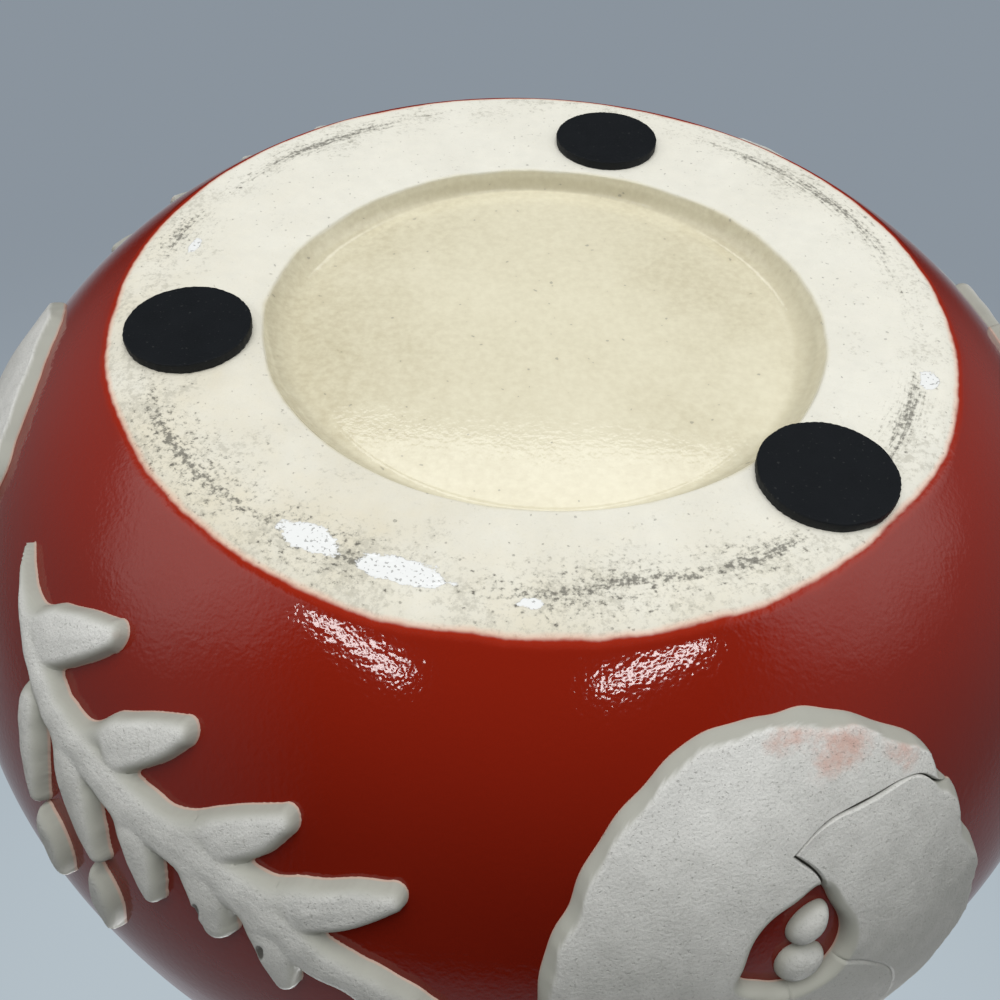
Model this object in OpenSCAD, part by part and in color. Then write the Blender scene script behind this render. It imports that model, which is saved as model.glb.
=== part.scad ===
// Round ceramic planter: a glazed globe on a bare foot, three stick-on foot pads under it,
// and white clay relief laid on the glaze: blooms near the foot, with a leafy sprig that runs up over each.
// Millimetres, upright, +Z up. The origin is the middle of the plane that the pads stand on.

/* [Body] */
// Widest diameter of the body
belly_d = 264; // [240:1:300]
// Height of the widest ring above the foot
belly_h = 70.5; // [64:0.5:90]
// Height of the top of the body above the foot, without the rounded rim
body_h = 188; // [160:1:220]
// Outer diameter of the body where the rim begins
rim_d = 186; // [160:1:210]
// Thickness of the wall
wall = 7; // [5:0.5:9]
// Thickness of the rounded rim
rim_t = 9; // [9:0.5:13]
// Thickness of the floor over the base recess
floor_t = 9; // [6:0.5:14]

/* [Foot] */
// Diameter of the bare foot at the line where the red glaze begins
foot_d = 172; // [160:1:190]
// Height of the rounded edge between the flat of the foot and the glaze line
foot_edge = 1; // [0.5:0.1:2]
// Diameter of the base recess at its mouth
recess_d = 109; // [90:1:114]
// Depth of the base recess
recess_depth = 5; // [3:0.5:8]
// Width of the sloping wall of the recess
recess_slope = 6; // [3:0.5:10]
// How far the recess and the pads sit forward of the middle of the foot
base_shift = 5; // [0:0.5:6]

/* [Pads] */
// Diameter of a foot pad
pad_d = 25; // [18:0.5:26]
// Thickness of a foot pad
pad_t = 2; // [1:0.25:4]
// How far the pads sit outside the middle of the foot ring
pad_out = 0.5; // [0:0.25:1.5]

/* [Relief] */
// Number of motifs round the body, each a bloom and a sprig
motif_count = 3; // [1:1:3]
// Bearing of the first bloom, counted from the right of the front view
motif_bearing = 249.5; // [0:0.5:359.5]
// Turn from the first bloom to the second, since the motifs are laid on by eye
second_turn = 105; // [100:1:125]
// Plain red band between the glaze line and the blooms
relief_clear = 14; // [8:1:25]
// Thickness of the relief in the middle of a leaf or a petal
relief_t = 3.2; // [2:0.1:4]
// Thickness of the relief at its edges
relief_edge = 1.8; // [1:0.1:1.9]
// Slip between the body and the relief, and between its pieces
slip_gap = 0.2; // [0.15:0.05:0.4]

/* [Bloom] */
// Diameter of a bloom
bloom_d = 82; // [64:1:90]
// Width of the opening in the middle of a bloom
opening_d = 20; // [18:0.5:26]
// Diameter of a stamen bead in the opening
bead_d = 7; // [4:0.25:7]
// Height of a stamen bead
bead_h = 3; // [2:0.1:4]
// How far the stamen beads sit below the middle of the bloom
bead_drop = 3; // [0:0.25:3.5]

/* [Sprig] */
// How far the cut end of a stem lies to the right of its bloom, measured round the body
stem_reach = 171; // [150:1:180]
// How far the cut end of a stem lies below the middle of its bloom
stem_drop = 31; // [18:1:34]
// Width of a stem
stem_w = 6; // [4:0.25:7]
// Length of a full leaf
leaf_l = 20; // [14:0.5:22]
// Width of a leaf on the foot side, where it leaves the stem
leaf_w = 11; // [8:0.5:12]
// Width of a leaf on the rim side, where it leaves the stem
rim_leaf_w = 8.5; // [6:0.5:9]
// Angle between a leaf and the stem
leaf_angle = 50; // [42:1:58]
// Length of a loose leaf
loose_l = 15; // [10:0.5:18]
// Width of a loose leaf
loose_w = 7; // [5:0.5:9]

/* [Hidden] */
arc_steps = 24;
edge_steps = 4;
belly_r = belly_d / 2;
foot_r = foot_d / 2;
rim_r = rim_d / 2;
recess_r = recess_d / 2;

// The body is two quarter ellipses that meet upright at the belly
foot_lat = acos(foot_r / belly_r);
rim_lat = acos(rim_r / belly_r);
low_b = (belly_h - foot_edge) / sin(foot_lat);
high_b = (body_h - belly_h) / sin(rim_lat);
function semi_axis(lat) = lat < 0 ? low_b : high_b;
function body_point(lat) = [belly_r * cos(lat), belly_h + semi_axis(lat) * sin(lat)];
function body_normal(lat) =
    let (n = [semi_axis(lat) * cos(lat), belly_r * sin(lat)])
    n / norm(n);

// The inside is a like pair of ellipses, one wall smaller
in_r = belly_r - wall;
in_low_b = low_b - wall;
in_high_b = high_b - wall;
floor_z = recess_depth + floor_t;
floor_lat = asin((belly_h - floor_z) / in_low_b);
rim_inner_z = body_point(rim_lat)[1] - wall * body_normal(rim_lat)[1];
in_rim_lat = asin((rim_inner_z - belly_h) / in_high_b);
function inside_point(lat) =
    [in_r * cos(lat), belly_h + (lat < 0 ? in_low_b : in_high_b) * sin(lat)];
rim_centre = (body_point(rim_lat) + inside_point(in_rim_lat)) / 2;

// The foot is flat, with an edge that rolls up into the body at the glaze line
edge_turn = atan2(body_normal(-foot_lat)[0], -body_normal(-foot_lat)[1]);
edge_r = foot_edge / (1 - cos(edge_turn));
flat_r = foot_r - edge_r * sin(edge_turn);

// Slant distance along the body, counted up from the belly, and its latitude
map_lat = 25;
function slant_scale(b) = norm([belly_r * sin(map_lat), b * cos(map_lat)]) * PI / 180;
low_scale = slant_scale(low_b);
high_scale = slant_scale(high_b);
function latitude(slant) = slant / (slant < 0 ? low_scale : high_scale);

// A point over the body: bearing, slant distance and height off the surface
function over_body(bearing, slant, lift) =
    let (
        lat = latitude(slant),
        p = body_point(lat) + lift * body_normal(lat)
    )
    [p[0] * cos(bearing), p[0] * sin(bearing), p[1] + pad_t];

// The relief is set out on a flat sheet with its middle at the bloom, x to the right and y up
bloom_r = bloom_d / 2;
bloom_slant = relief_clear + bloom_r - foot_lat * low_scale;
sheet_r = body_point(latitude(bloom_slant))[0] * PI / 180;
// The third motif lies halfway along the rest of the way round
motif_turns = [0, second_turn, (360 + second_turn) / 2];
function on_body(motif, p, lift) =
    over_body(
        motif_bearing + motif_turns[motif - 1] + p[0] / sheet_r,
        bloom_slant + p[1],
        lift
    );
function turned(p, angle) =
    [p[0] * cos(angle) - p[1] * sin(angle), p[0] * sin(angle) + p[1] * cos(angle)];
function unit(p) = p / norm(p);

// A slab of relief: place(t, w) is a point of its outline on the sheet, rise(t, w) its thickness there,
// with t from 0 to 1 and w from -1 to 1
module slab(motif, rows, cols, place, rise) {
    grid = [for (i = [0:rows]) for (j = [0:cols]) [i / rows, 2 * j / cols - 1]];
    count = len(grid);
    under = [for (g = grid) on_body(motif, place(g[0], g[1]), slip_gap)];
    over = [for (g = grid) on_body(motif, place(g[0], g[1]), slip_gap + rise(g[0], g[1]))];
    at = function(i, j) i * (cols + 1) + j;
    top = [
        for (i = [0:rows - 1]) for (j = [0:cols - 1])
            each [
                [count + at(i, j), count + at(i, j + 1), count + at(i + 1, j + 1)],
                [count + at(i, j), count + at(i + 1, j + 1), count + at(i + 1, j)]
            ]
    ];
    bottom = [
        for (i = [0:rows - 1]) for (j = [0:cols - 1])
            each [
                [at(i, j), at(i + 1, j), at(i + 1, j + 1)],
                [at(i, j), at(i + 1, j + 1), at(i, j + 1)]
            ]
    ];
    rim = concat(
        [for (i = [0:rows - 1]) at(i, 0)],
        [for (j = [0:cols - 1]) at(rows, j)],
        [for (i = [rows:-1:1]) at(i, cols)],
        [for (j = [cols:-1:1]) at(0, j)]
    );
    sides = [
        for (k = [0:len(rim) - 1])
            let (a = rim[k], b = rim[(k + 1) % len(rim)])
            each [[a, count + a, count + b], [a, count + b, b]]
    ];
    polyhedron(concat(under, over), concat(top, bottom, sides));
}

// Thickness of a slab that is full in the middle and falls to its edge thickness
function crowned(w, full, edge) = edge + (full - edge) * (1 - w * w);

// A smooth bend drawn by its handles: it leaves the first and ends at the last
function choose(n, k) = k == 0 ? 1 : choose(n, k - 1) * (n - k + 1) / k;
function bend(handles, s) =
    let (n = len(handles) - 1)
    [for (k = [0:n]) choose(n, k) * pow(s, k) * pow(1 - s, n - k)] * handles;

// Stem: from the cut end on the right, along the foot, then up and over the bloom.
// All the handles but the first are shares of the bloom's radius.
stem_steps = 40;
stem_end_w = 0.4;
stem_taper = 5;
stem_handles = concat(
    [[stem_reach, -stem_drop]],
    [for (h = [[2.7, 0], [-0.7, -0.4], [2.7, 1], [0, 1.55]]) h * bloom_r]
);
handle_steps = [for (k = [1:len(stem_handles) - 1]) stem_handles[k] - stem_handles[k - 1]];
function stem_point(s) = bend(stem_handles, s);
function stem_pull(s) = len(handle_steps) * bend(handle_steps, s);
function stem_way(s) = unit(stem_pull(s));
function stem_half(s) =
    stem_w / 2 * (stem_end_w + (1 - stem_end_w) * min(1, stem_taper * s, stem_taper * (1 - s)));
function stem_edge(s, side) = stem_point(s) + turned(stem_way(s), 90) * stem_half(s) * side;

// Leaves: the share of the way along the stem, then the length as a share of a full leaf
foot_leaves = [[0.083, 1], [0.168, 1], [0.252, 1], [0.334, 0.95]];
rim_leaves = [
    [0.104, 0.85], [0.162, 0.8], [0.207, 0.65], [0.254, 0.5], [0.309, 0.55],
    [0.43, 0.7], [0.56, 0.8], [0.7, 0.85], [0.84, 0.75]
];
leaf_spots = concat(
    [for (leaf = foot_leaves) [leaf[0], 1, leaf[1] * leaf_l, leaf_w]],
    [for (leaf = rim_leaves) [leaf[0], -1, leaf[1] * leaf_l, rim_leaf_w]]
);
loose_spots = [len(foot_leaves), len(foot_leaves) + 1];
loose_gap = 1;
// Loose leaves lie beyond the leaf tips, a little towards the cut end of the stem
loose_aside = 0.6 * loose_w;
leaf_rows = 7;
leaf_cols = 4;
leaf_tip = 0.85;
leaf_round = 0.2;
leaf_seat = 0.4;
function leaf_half(width, t) = width / 2 * sqrt(1 - leaf_tip * pow(t, 3));
function leaf_way(k) = turned(stem_way(leaf_spots[k][0]), leaf_spots[k][1] * leaf_angle);
function leaf_base(k) =
    let (
        s = leaf_spots[k][0],
        side = leaf_spots[k][1],
        reach = leaf_spots[k][3] / 2 / norm(stem_pull(s)),
        out = turned(stem_way(s), 90 * side),
        stem_side = max([for (d = [-reach, 0, reach]) (stem_edge(s + d, side) - stem_point(s)) * out])
    )
    stem_point(s) + out * (stem_side + slip_gap);
function leaf_point(base, way, seat, length, width, t, w) =
    let (
        blend = min(1, t / leaf_seat),
        across = unit(seat * (1 - blend) + turned(way, 90) * blend)
    )
    base + way * length * t * (1 - leaf_round * w * w * pow(t, 3)) + across * leaf_half(width, t) * w;

// Bloom: broad petals that swirl round the opening, each given by the bearings of its two seams
petal_seams = [200, 390, 470, 560];
petal_count = len(petal_seams) - 1;
petal_rows = 7;
petal_cols = 16;
swirl = 50;
swirl_bow = 16;
seam_notch = 0.07;
opening_point = 0.3;
function opening_edge(angle) = opening_d / 2 * (1 + opening_point * pow(max(0, -sin(angle)), 4));
function petal_point(k, t, w) =
    let (
        mid = (petal_seams[k] + petal_seams[k - 1]) / 2 + swirl * (1 - t) + swirl_bow * sin(180 * t),
        half = (petal_seams[k] - petal_seams[k - 1]) / 2,
        outer = bloom_r * (1 - seam_notch * pow(w, 6)),
        inner = opening_edge(mid + half * w),
        r = inner + (outer - inner) * t,
        seam = slip_gap / r * 180 / PI,
        angle = mid + (half - seam) * w
    )
    r * [cos(angle), sin(angle)];
function petal_rise(t, w) =
    relief_edge + (relief_t - relief_edge) * (1 - pow(2 * t - 1, 4)) * (1 - pow(w, 8));

// Stamen beads: two domes, one over the other, in the opening of the bloom
bead_count = 2;
bead_rows = 6;
bead_cols = 4;
bead_lean = 0.2;
bead_end = 0.96;
bead_pitch = bead_d + 2 * slip_gap;
function bead_point(k, t, w) =
    let (
        along = 2 * t - 1,
        half = bead_d / 2,
        high = bead_pitch * (k - (bead_count + 1) / 2) - bead_drop
    )
    [bead_lean * high - half * w * sqrt(1 - bead_end * along * along), high + half * along];
function bead_rise(t, w) =
    relief_edge + (bead_h - relief_edge) * sqrt((1 - pow(2 * t - 1, 2)) * (1 - w * w));

// Foot pads: stuck on by hand round the foot ring
pad_names = ["pad_left", "pad_right", "pad_back"];
pad_bearings = [222, 350, 105];
pad_ring_r = (recess_r + flat_r) / 2 + pad_out;

function stem_name(m) = str("sprig_", m, "_stem");
function leaf_name(m, k) = str("sprig_", m, "_leaf_", k);
function petal_name(m, k) = str("bloom_", m, "_petal_", k);
function stamens_name(m) = str("bloom_", m, "_stamens");
motifs = [1:motif_count];

module body_section() {
    polygon(concat(
        [[0, 0]],
        [
            for (i = [0:edge_steps])
                let (a = edge_turn * i / edge_steps)
                [flat_r + edge_r * sin(a), edge_r * (1 - cos(a))]
        ],
        [for (i = [1:arc_steps]) body_point(-foot_lat * (1 - i / arc_steps))],
        [for (i = [1:arc_steps]) body_point(rim_lat * i / arc_steps)],
        [for (i = [0:arc_steps]) inside_point(in_rim_lat * (1 - i / arc_steps))],
        [for (i = [1:arc_steps]) inside_point(-floor_lat * i / arc_steps)],
        [[0, floor_z]]
    ));
}

module recess_section() {
    polygon(concat(
        [[0, -1], [recess_r, -1]],
        [
            for (i = [0:2 * edge_steps])
                let (s = i / (2 * edge_steps))
                [recess_r - recess_slope * s, recess_depth * s * s * (3 - 2 * s)]
        ],
        [[0, recess_depth]]
    ));
}

module pot_body() {
    color("firebrick")
    translate([0, 0, pad_t])
    difference() {
        union() {
            rotate_extrude($fn = 180) body_section();
            rotate_extrude($fn = 180) translate(rim_centre) circle(d = rim_t, $fn = 48);
        }
        translate([0, -base_shift, 0]) rotate_extrude($fn = 120) recess_section();
    }
}

module pad(k) {
    color("darkslategray")
    translate([0, -base_shift, 0])
    rotate(pad_bearings[k])
    translate([pad_ring_r, 0, 0])
    cylinder(d = pad_d, h = pad_t, $fn = 72);
}

module stem(m) {
    color("ivory")
    slab(
        m, stem_steps, 2,
        function(t, w) stem_edge(t, w),
        function(t, w) crowned(w, relief_t, relief_edge)
    );
}

module leaf(m, k) {
    spot = leaf_spots[k - 1];
    seat = -stem_way(spot[0]) * spot[1];
    color("ivory")
    slab(
        m, leaf_rows, leaf_cols,
        function(t, w) leaf_point(leaf_base(k - 1), leaf_way(k - 1), seat, spot[2], spot[3], t, w),
        function(t, w) crowned(w, relief_t, relief_edge)
    );
}

module loose_leaves() {
    color("ivory")
    for (m = motifs)
        for (spot = loose_spots) {
            way = leaf_way(spot);
            tip = leaf_base(spot) + way * leaf_spots[spot][2];
            base = tip + way * loose_gap - turned(way, 90) * loose_aside;
            slab(
                m, leaf_rows, leaf_cols,
                function(t, w) leaf_point(base, way, turned(way, 90), loose_l, loose_w, t, w),
                function(t, w) crowned(w, relief_t, relief_edge)
            );
        }
}

module petal(m, k) {
    color("ivory")
    slab(
        m, petal_rows, petal_cols,
        function(t, w) petal_point(k, t, w),
        function(t, w) petal_rise(t, w)
    );
}

module stamens(m) {
    color("ivory")
    for (k = [1:bead_count])
        slab(
            m, bead_rows, bead_cols,
            function(t, w) bead_point(k, t, w),
            function(t, w) bead_rise(t, w)
        );
}

pot_body();
for (k = [0:len(pad_names) - 1])
    pad(k);
loose_leaves();
for (m = motifs) {
    stem(m);
    for (k = [1:len(leaf_spots)])
        leaf(m, k);
    for (k = [1:petal_count])
        petal(m, k);
    stamens(m);
}
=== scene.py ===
"""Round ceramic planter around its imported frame.

A glazed red globe on a bare foot with stick-on pads, and white clay relief: blooms near the foot,
each with a leafy sprig. Metres, upright, +Z up, with the pads standing on the plane Z = 0.
"""
import math

import bpy
import numpy as np
from mathutils import Matrix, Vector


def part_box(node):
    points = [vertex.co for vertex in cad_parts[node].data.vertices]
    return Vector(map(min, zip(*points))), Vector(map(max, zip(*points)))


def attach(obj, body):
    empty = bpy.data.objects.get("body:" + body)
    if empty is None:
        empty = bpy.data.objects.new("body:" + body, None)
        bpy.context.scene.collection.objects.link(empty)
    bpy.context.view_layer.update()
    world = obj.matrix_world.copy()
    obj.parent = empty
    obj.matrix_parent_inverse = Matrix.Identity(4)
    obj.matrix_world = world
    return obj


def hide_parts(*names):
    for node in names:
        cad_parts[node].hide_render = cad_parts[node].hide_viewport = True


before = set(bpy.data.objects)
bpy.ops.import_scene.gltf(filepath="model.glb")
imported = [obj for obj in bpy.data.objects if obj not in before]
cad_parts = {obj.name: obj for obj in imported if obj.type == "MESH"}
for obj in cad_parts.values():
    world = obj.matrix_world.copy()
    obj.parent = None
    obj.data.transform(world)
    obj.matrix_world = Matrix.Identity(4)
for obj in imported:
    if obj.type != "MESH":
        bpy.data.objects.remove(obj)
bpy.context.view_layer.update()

POT_LOW, POT_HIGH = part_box("pot_body")
PAD_NODES = ["pad_left", "pad_right", "pad_back"]
BODY = "root"
MM = 0.001
MOTIFS = (1, 2, 3)
# Radius of a bloom in the plan that sets out the motifs
PLAN_BLOOM_R = 0.041

bl_info = {
    "name": "Relief planter",
    "version": (1, 0, 0),
    "blender": (4, 5, 0),
    "location": "3D View > Sidebar > Planter",
    "description": "Builds a glazed round planter with clay relief, its finishes and its stage",
    "category": "Object",
}


def length(name, description, default):
    """A size in metres that a user may change."""
    return bpy.props.FloatProperty(
        name=name, description=description, default=default, min=0.0, precision=4,
        subtype="DISTANCE", unit="LENGTH",
    )


def angle(name, description, degrees):
    """An angle that a user may change."""
    return bpy.props.FloatProperty(
        name=name, description=description, default=math.radians(degrees),
        subtype="ANGLE", unit="ROTATION",
    )


def tint(name, description, default):
    """A linear colour that a user may change."""
    return bpy.props.FloatVectorProperty(
        name=name, description=description, default=default, min=0.0, max=1.0,
        size=3, subtype="COLOR",
    )


class PlanterPot(bpy.types.PropertyGroup):
    """Sizes of the pot and its foot pads."""

    belly_d: length("Belly", "Widest diameter of the body", POT_HIGH.x - POT_LOW.x)
    belly_h: length("Belly height", "Height of the widest ring above the foot", 0.0705)
    body_h: length("Body height", "Height of the body above the foot, without the rim", 0.188)
    rim_d: length("Rim", "Outer diameter of the body where the rim begins", 0.186)
    wall: length("Wall", "Thickness of the wall", 0.007)
    rim_t: length("Rim thickness", "Thickness of the rounded rim", 0.009)
    floor_t: length("Floor", "Thickness of the floor over the base recess", 0.009)
    foot_d: length("Foot", "Diameter of the bare foot at the glaze line", 0.172)
    foot_edge: length("Foot edge", "Height of the rounded edge of the foot", 0.001)
    recess_d: length("Recess", "Diameter of the base recess at its mouth", 0.114)
    recess_depth: length("Recess depth", "Depth of the base recess", 0.005)
    recess_slope: length("Recess wall", "Width of the sloping wall of the recess", 0.0075)
    base_shift: length("Base shift", "How far the recess sits forward of the middle", 0.006)
    base_aside: length("Base aside", "How far the recess sits left of the middle", 0.0022)
    pad_t: length("Pad thickness", "Thickness of a foot pad", POT_LOW.z)
    lip_line: length("Lip line", "How far the red glaze reaches down inside the mouth", 0.024)


class PlanterRelief(bpy.types.PropertyGroup):
    """Sizes of the clay relief, on a flat sheet with its middle at the bloom."""

    bearing: angle("First bloom", "Bearing of the first bloom from the right", 249.5)
    second: angle("Second bloom", "Turn from the first bloom to the second", 105.0)
    clear: length("Plain band", "Plain band between the glaze line and the blooms", 0.014)
    height: length("Height", "Height of the relief in the middle of a leaf", 0.0028)
    bloom_d: length("Bloom", "Diameter of a bloom", 0.0825)
    bead_h: length("Bead height", "Height of a stamen bead", 0.003)
    stem_reach: length("Stem reach", "How far the cut end lies right of its bloom", 0.171)
    stem_drop: length("Stem drop", "How far the cut end lies below the bloom's middle", 0.031)
    stem_w: length("Stem", "Width of a stem", 0.006)
    leaf_l: length("Leaf length", "Length of a full leaf", 0.020)
    leaf_w: length("Leaf width", "Width of a leaf on the foot side", 0.011)
    rim_leaf_w: length("Rim leaf width", "Width of a leaf on the rim side", 0.0085)
    leaf_angle: angle("Leaf angle", "Angle between a leaf and the stem", 50.0)
    loose_l: length("Loose leaf", "Length of a loose leaf", 0.015)
    loose_w: length("Loose leaf width", "Width of a loose leaf", 0.007)
    cell: length("Grid step", "Spacing of the grid that the sprigs are worked out on", 0.0004)


class PlanterFinish(bpy.types.PropertyGroup):
    """Colours of the finishes."""

    red: tint("Red glaze", "Red glaze near the foot", (0.240, 0.0125, 0.0038))
    red_deep: tint("Deep glaze", "Thick red glaze lower down the sides", (0.117, 0.0056, 0.0015))
    red_high: tint("Upper red", "Red glaze of the upper half", (0.36, 0.021, 0.009))
    red_thin: tint("Thin glaze", "Red glaze where it runs thin", (0.36, 0.026, 0.010))
    fringe: tint("Fringe", "Pale line where the glaze ends", (0.78, 0.42, 0.30))
    clay: tint("Bare clay", "Bare clay of the foot", (0.845, 0.830, 0.745))
    # Painted shade: the front right of the foot darker and yellower, with a little random tone everywhere
    clay_tone_and_shade: tint("Worn clay", "Yellowed clay of the foot", (0.72, 0.66, 0.51))
    # Partly the clay's own grey patches, partly painted shade of small bumps in the clay
    clay_grey_and_shade: tint("Greyed clay", "Greyed clay of the foot", (0.68, 0.67, 0.60))
    grime: tint("Grime", "Dirt rubbed into the foot", (0.38, 0.36, 0.29))
    scuff: tint("Scuff", "Dark scuffs and dirt on the foot", (0.10, 0.095, 0.08))
    clear: tint("Clear glaze", "Clear glaze over the clay in the recess", (0.80, 0.755, 0.58))
    # Random patches of thick clear glaze, and painted shade on the recess wall
    clear_deep_and_shade: tint("Deep clear glaze", "Clear glaze where it is thick", (0.66, 0.61, 0.44))
    clear_brown: tint("Clear glaze specks", "Fine specks under the clear glaze", (0.36, 0.28, 0.15))
    drip: tint("Glaze drip", "Drops of white glaze on the foot", (0.86, 0.87, 0.86))
    slip: tint("White slip", "White clay of the relief", (0.79, 0.785, 0.75))
    # Random grey tone of the relief, and painted shade that greys it higher up the pot
    slip_grey_and_shade: tint("Grey slip", "Greyer clay of the relief", (0.40, 0.40, 0.375))
    flank: tint("Relief flank", "Sides of the relief, with a little glaze", (0.38, 0.38, 0.33))
    blush: tint("Blush", "Pink stains on the relief", (0.62, 0.36, 0.29))
    pit: tint("Pits", "Pits and specks in the clay", (0.20, 0.195, 0.17))
    pad: tint("Pad", "Black rubber of the foot pads", (0.0080, 0.0095, 0.0115))


class PlanterSheet:
    """The body's outline and the flat sheet that the relief is set out on.

    The outline is two quarter ellipses that meet upright at the belly. On the sheet, x runs round the
    body from the bloom's middle and y runs up along the slant.
    """

    def __init__(self, pot, relief):
        self.belly_r = pot.belly_d / 2
        self.belly_h = pot.belly_h
        self.lift_z = pot.pad_t
        self.foot_r = pot.foot_d / 2
        self.foot_lat = math.acos(self.foot_r / self.belly_r)
        self.rim_lat = math.acos(pot.rim_d / 2 / self.belly_r)
        self.low_b = (pot.belly_h - pot.foot_edge) / math.sin(self.foot_lat)
        self.high_b = (pot.body_h - pot.belly_h) / math.sin(self.rim_lat)
        self.low_scale = self.slant_scale(self.low_b)
        self.high_scale = self.slant_scale(self.high_b)
        self.bearing = relief.bearing
        self.turns = (0.0, relief.second, math.pi + relief.second / 2)
        self.bloom_slant = relief.clear + PLAN_BLOOM_R - self.foot_lat * self.low_scale
        self.sheet_r = float(self.point(np.array(self.bloom_slant / self.low_scale))[0])

    def slant_scale(self, b):
        """Slant distance for each radian of latitude, taken a fair way up the body."""
        map_lat = math.radians(25)
        return math.hypot(self.belly_r * math.sin(map_lat), b * math.cos(map_lat))

    def semi_axis(self, lat):
        """Height of the ellipse below or above the belly."""
        return np.where(lat < 0, self.low_b, self.high_b)

    def point(self, lat):
        """Radius and height above the foot: the ellipse's cosine and sine at that latitude."""
        return self.belly_r * np.cos(lat), self.belly_h + self.semi_axis(lat) * np.sin(lat)

    def normal(self, lat):
        """Outward unit normal of the ellipse, as its radial and upright parts."""
        across = self.semi_axis(lat) * np.cos(lat)
        up = self.belly_r * np.sin(lat)
        size = np.hypot(across, up)
        return across / size, up / size

    def place(self, motif, x, y, lift):
        """Points over the body: the ellipse's point plus lift along its normal, turned to the bearing."""
        slant = self.bloom_slant + y
        lat = slant / np.where(slant < 0, self.low_scale, self.high_scale)
        radius, height = self.point(lat)
        across, up = self.normal(lat)
        turn = self.bearing + self.turns[motif - 1] + x / self.sheet_r
        radius = radius + lift * across
        height = height + lift * up + self.lift_z
        return np.stack([radius * np.cos(turn), radius * np.sin(turn), height], -1)


def smooth_step(low, high, value):
    """0 below low, 1 above high, with a soft S between them."""
    share = np.clip((value - low) / (high - low), 0.0, 1.0)
    return share * share * (3 - 2 * share)


def waves(x, y, sizes, seed):
    """Gentle lumps from -1 to 1: a sum of sine waves of the given wavelengths that run in many directions."""
    total = np.zeros(np.broadcast(x, y).shape)
    for k, size in enumerate(sizes):
        turn = 2.4 * k + seed
        total += np.sin(2 * math.pi / size * (x * math.cos(turn) + y * math.sin(turn)) + 1.7 * k + 3.1 * seed)
    return total / len(sizes)


def put(name, data):
    """A new object in the scene, at the origin."""
    made = bpy.data.objects.new(name, data)
    bpy.context.scene.collection.objects.link(made)
    return made


def make_mesh(name, points, faces, values=None, crease=None):
    """A mesh object at the origin from a point array, face index arrays and point values by name."""
    mesh = bpy.data.meshes.new(name)
    corners = np.concatenate([f.ravel() for f in faces]).astype(np.int32)
    sizes = np.concatenate([np.full(len(f), f.shape[1]) for f in faces])
    starts = np.concatenate([[0], np.cumsum(sizes)[:-1]]).astype(np.int32)
    mesh.vertices.add(len(points))
    mesh.vertices.foreach_set("co", points.astype(np.float32).ravel())
    mesh.loops.add(len(corners))
    mesh.loops.foreach_set("vertex_index", corners)
    mesh.polygons.add(len(sizes))
    mesh.polygons.foreach_set("loop_start", starts)
    mesh.update(calc_edges=True)
    if mesh.validate():
        raise RuntimeError(f"{name} has faulty faces")
    mesh.shade_smooth()
    if crease is not None:
        mesh.set_sharp_from_angle(angle=crease)
    for key, value in (values or {}).items():
        layer = mesh.attributes.new(key, "FLOAT", "POINT")
        layer.data.foreach_set("value", value.astype(np.float32).ravel())
    return put(name, mesh)


def ring_faces(rows, cols):
    """Quads between neighbouring rings of a grid that closes round on itself."""
    i, j = np.meshgrid(np.arange(rows - 1), np.arange(cols), indexing="ij")
    k = (j + 1) % cols
    return np.stack([i * cols + j, i * cols + k, (i + 1) * cols + k, (i + 1) * cols + j], -1).reshape(-1, 4)


def pole_faces(pole, ring, outward):
    """Triangles from a pole to the ring round it."""
    after = np.roll(ring, -1)
    first, second = (ring, after) if outward else (after, ring)
    return np.stack([np.full(len(ring), pole), first, second], -1)


def lathe_faces(rows, cols, inward=False):
    """Faces of a closed lathe shape: its rings, then the pole at each end, numbered after the rings."""
    quads = ring_faces(rows, cols)
    ring = np.arange(cols)
    last = rows * cols
    return [
        quads[:, ::-1] if inward else quads,
        pole_faces(last, ring, inward),
        pole_faces(last + 1, ring + (rows - 1) * cols, not inward),
    ]


def cell_corners(field):
    """The values at the four corners of every cell of a grid."""
    return np.stack([field[..., :-1, :-1], field[..., 1:, :-1], field[..., :-1, 1:], field[..., 1:, 1:]])


def slab(top, under, used, values):
    """A slab's points, faces and values: the used cells of a grid above and below, and walls at their edge.

    A wall stands on each cell edge that has a used cell on one side only.
    """
    rows, cols = used.shape
    index = np.arange((rows + 1) * (cols + 1)).reshape(rows + 1, cols + 1)
    a, b, c, d = index[:-1, :-1], index[:-1, 1:], index[1:, 1:], index[1:, :-1]
    count = index.size
    over = np.stack([a, b, c, d], -1)[used]
    below = np.stack([d, c, b, a], -1)[used] + count
    walls = []
    pad = np.pad(used, 1)
    for start, end, shift in ((a, b, (-1, 0)), (b, c, (0, 1)), (c, d, (1, 0)), (d, a, (0, -1))):
        beside = pad[1 + shift[0]:1 + shift[0] + rows, 1 + shift[1]:1 + shift[1] + cols]
        edge = used & ~beside
        first, second = start[edge], end[edge]
        walls.append(np.stack([second, first, first + count, second + count], -1))
    quads = np.concatenate([over, below] + walls)
    kept, quads = np.unique(quads, return_inverse=True)
    points = np.concatenate([top.reshape(-1, 3), under.reshape(-1, 3)])[kept]
    both = {key: np.concatenate([v.ravel(), v.ravel()])[kept] for key, v in values.items()}
    return points, quads.reshape(-1, 4), both


def closed_sheet(name, top, under, used, values, crease):
    """A slab as a mesh object."""
    points, quads, both = slab(top, under, used, values)
    return make_mesh(name, points, [quads], both, crease)


def finish_piece(piece, material, slot, *nodes):
    """Gives a piece its finish, hangs it on the body and hides the solids that it stands for."""
    piece.data.materials.append(material)
    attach(piece, BODY)
    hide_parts(*nodes)
    return piece


# Pot

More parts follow.
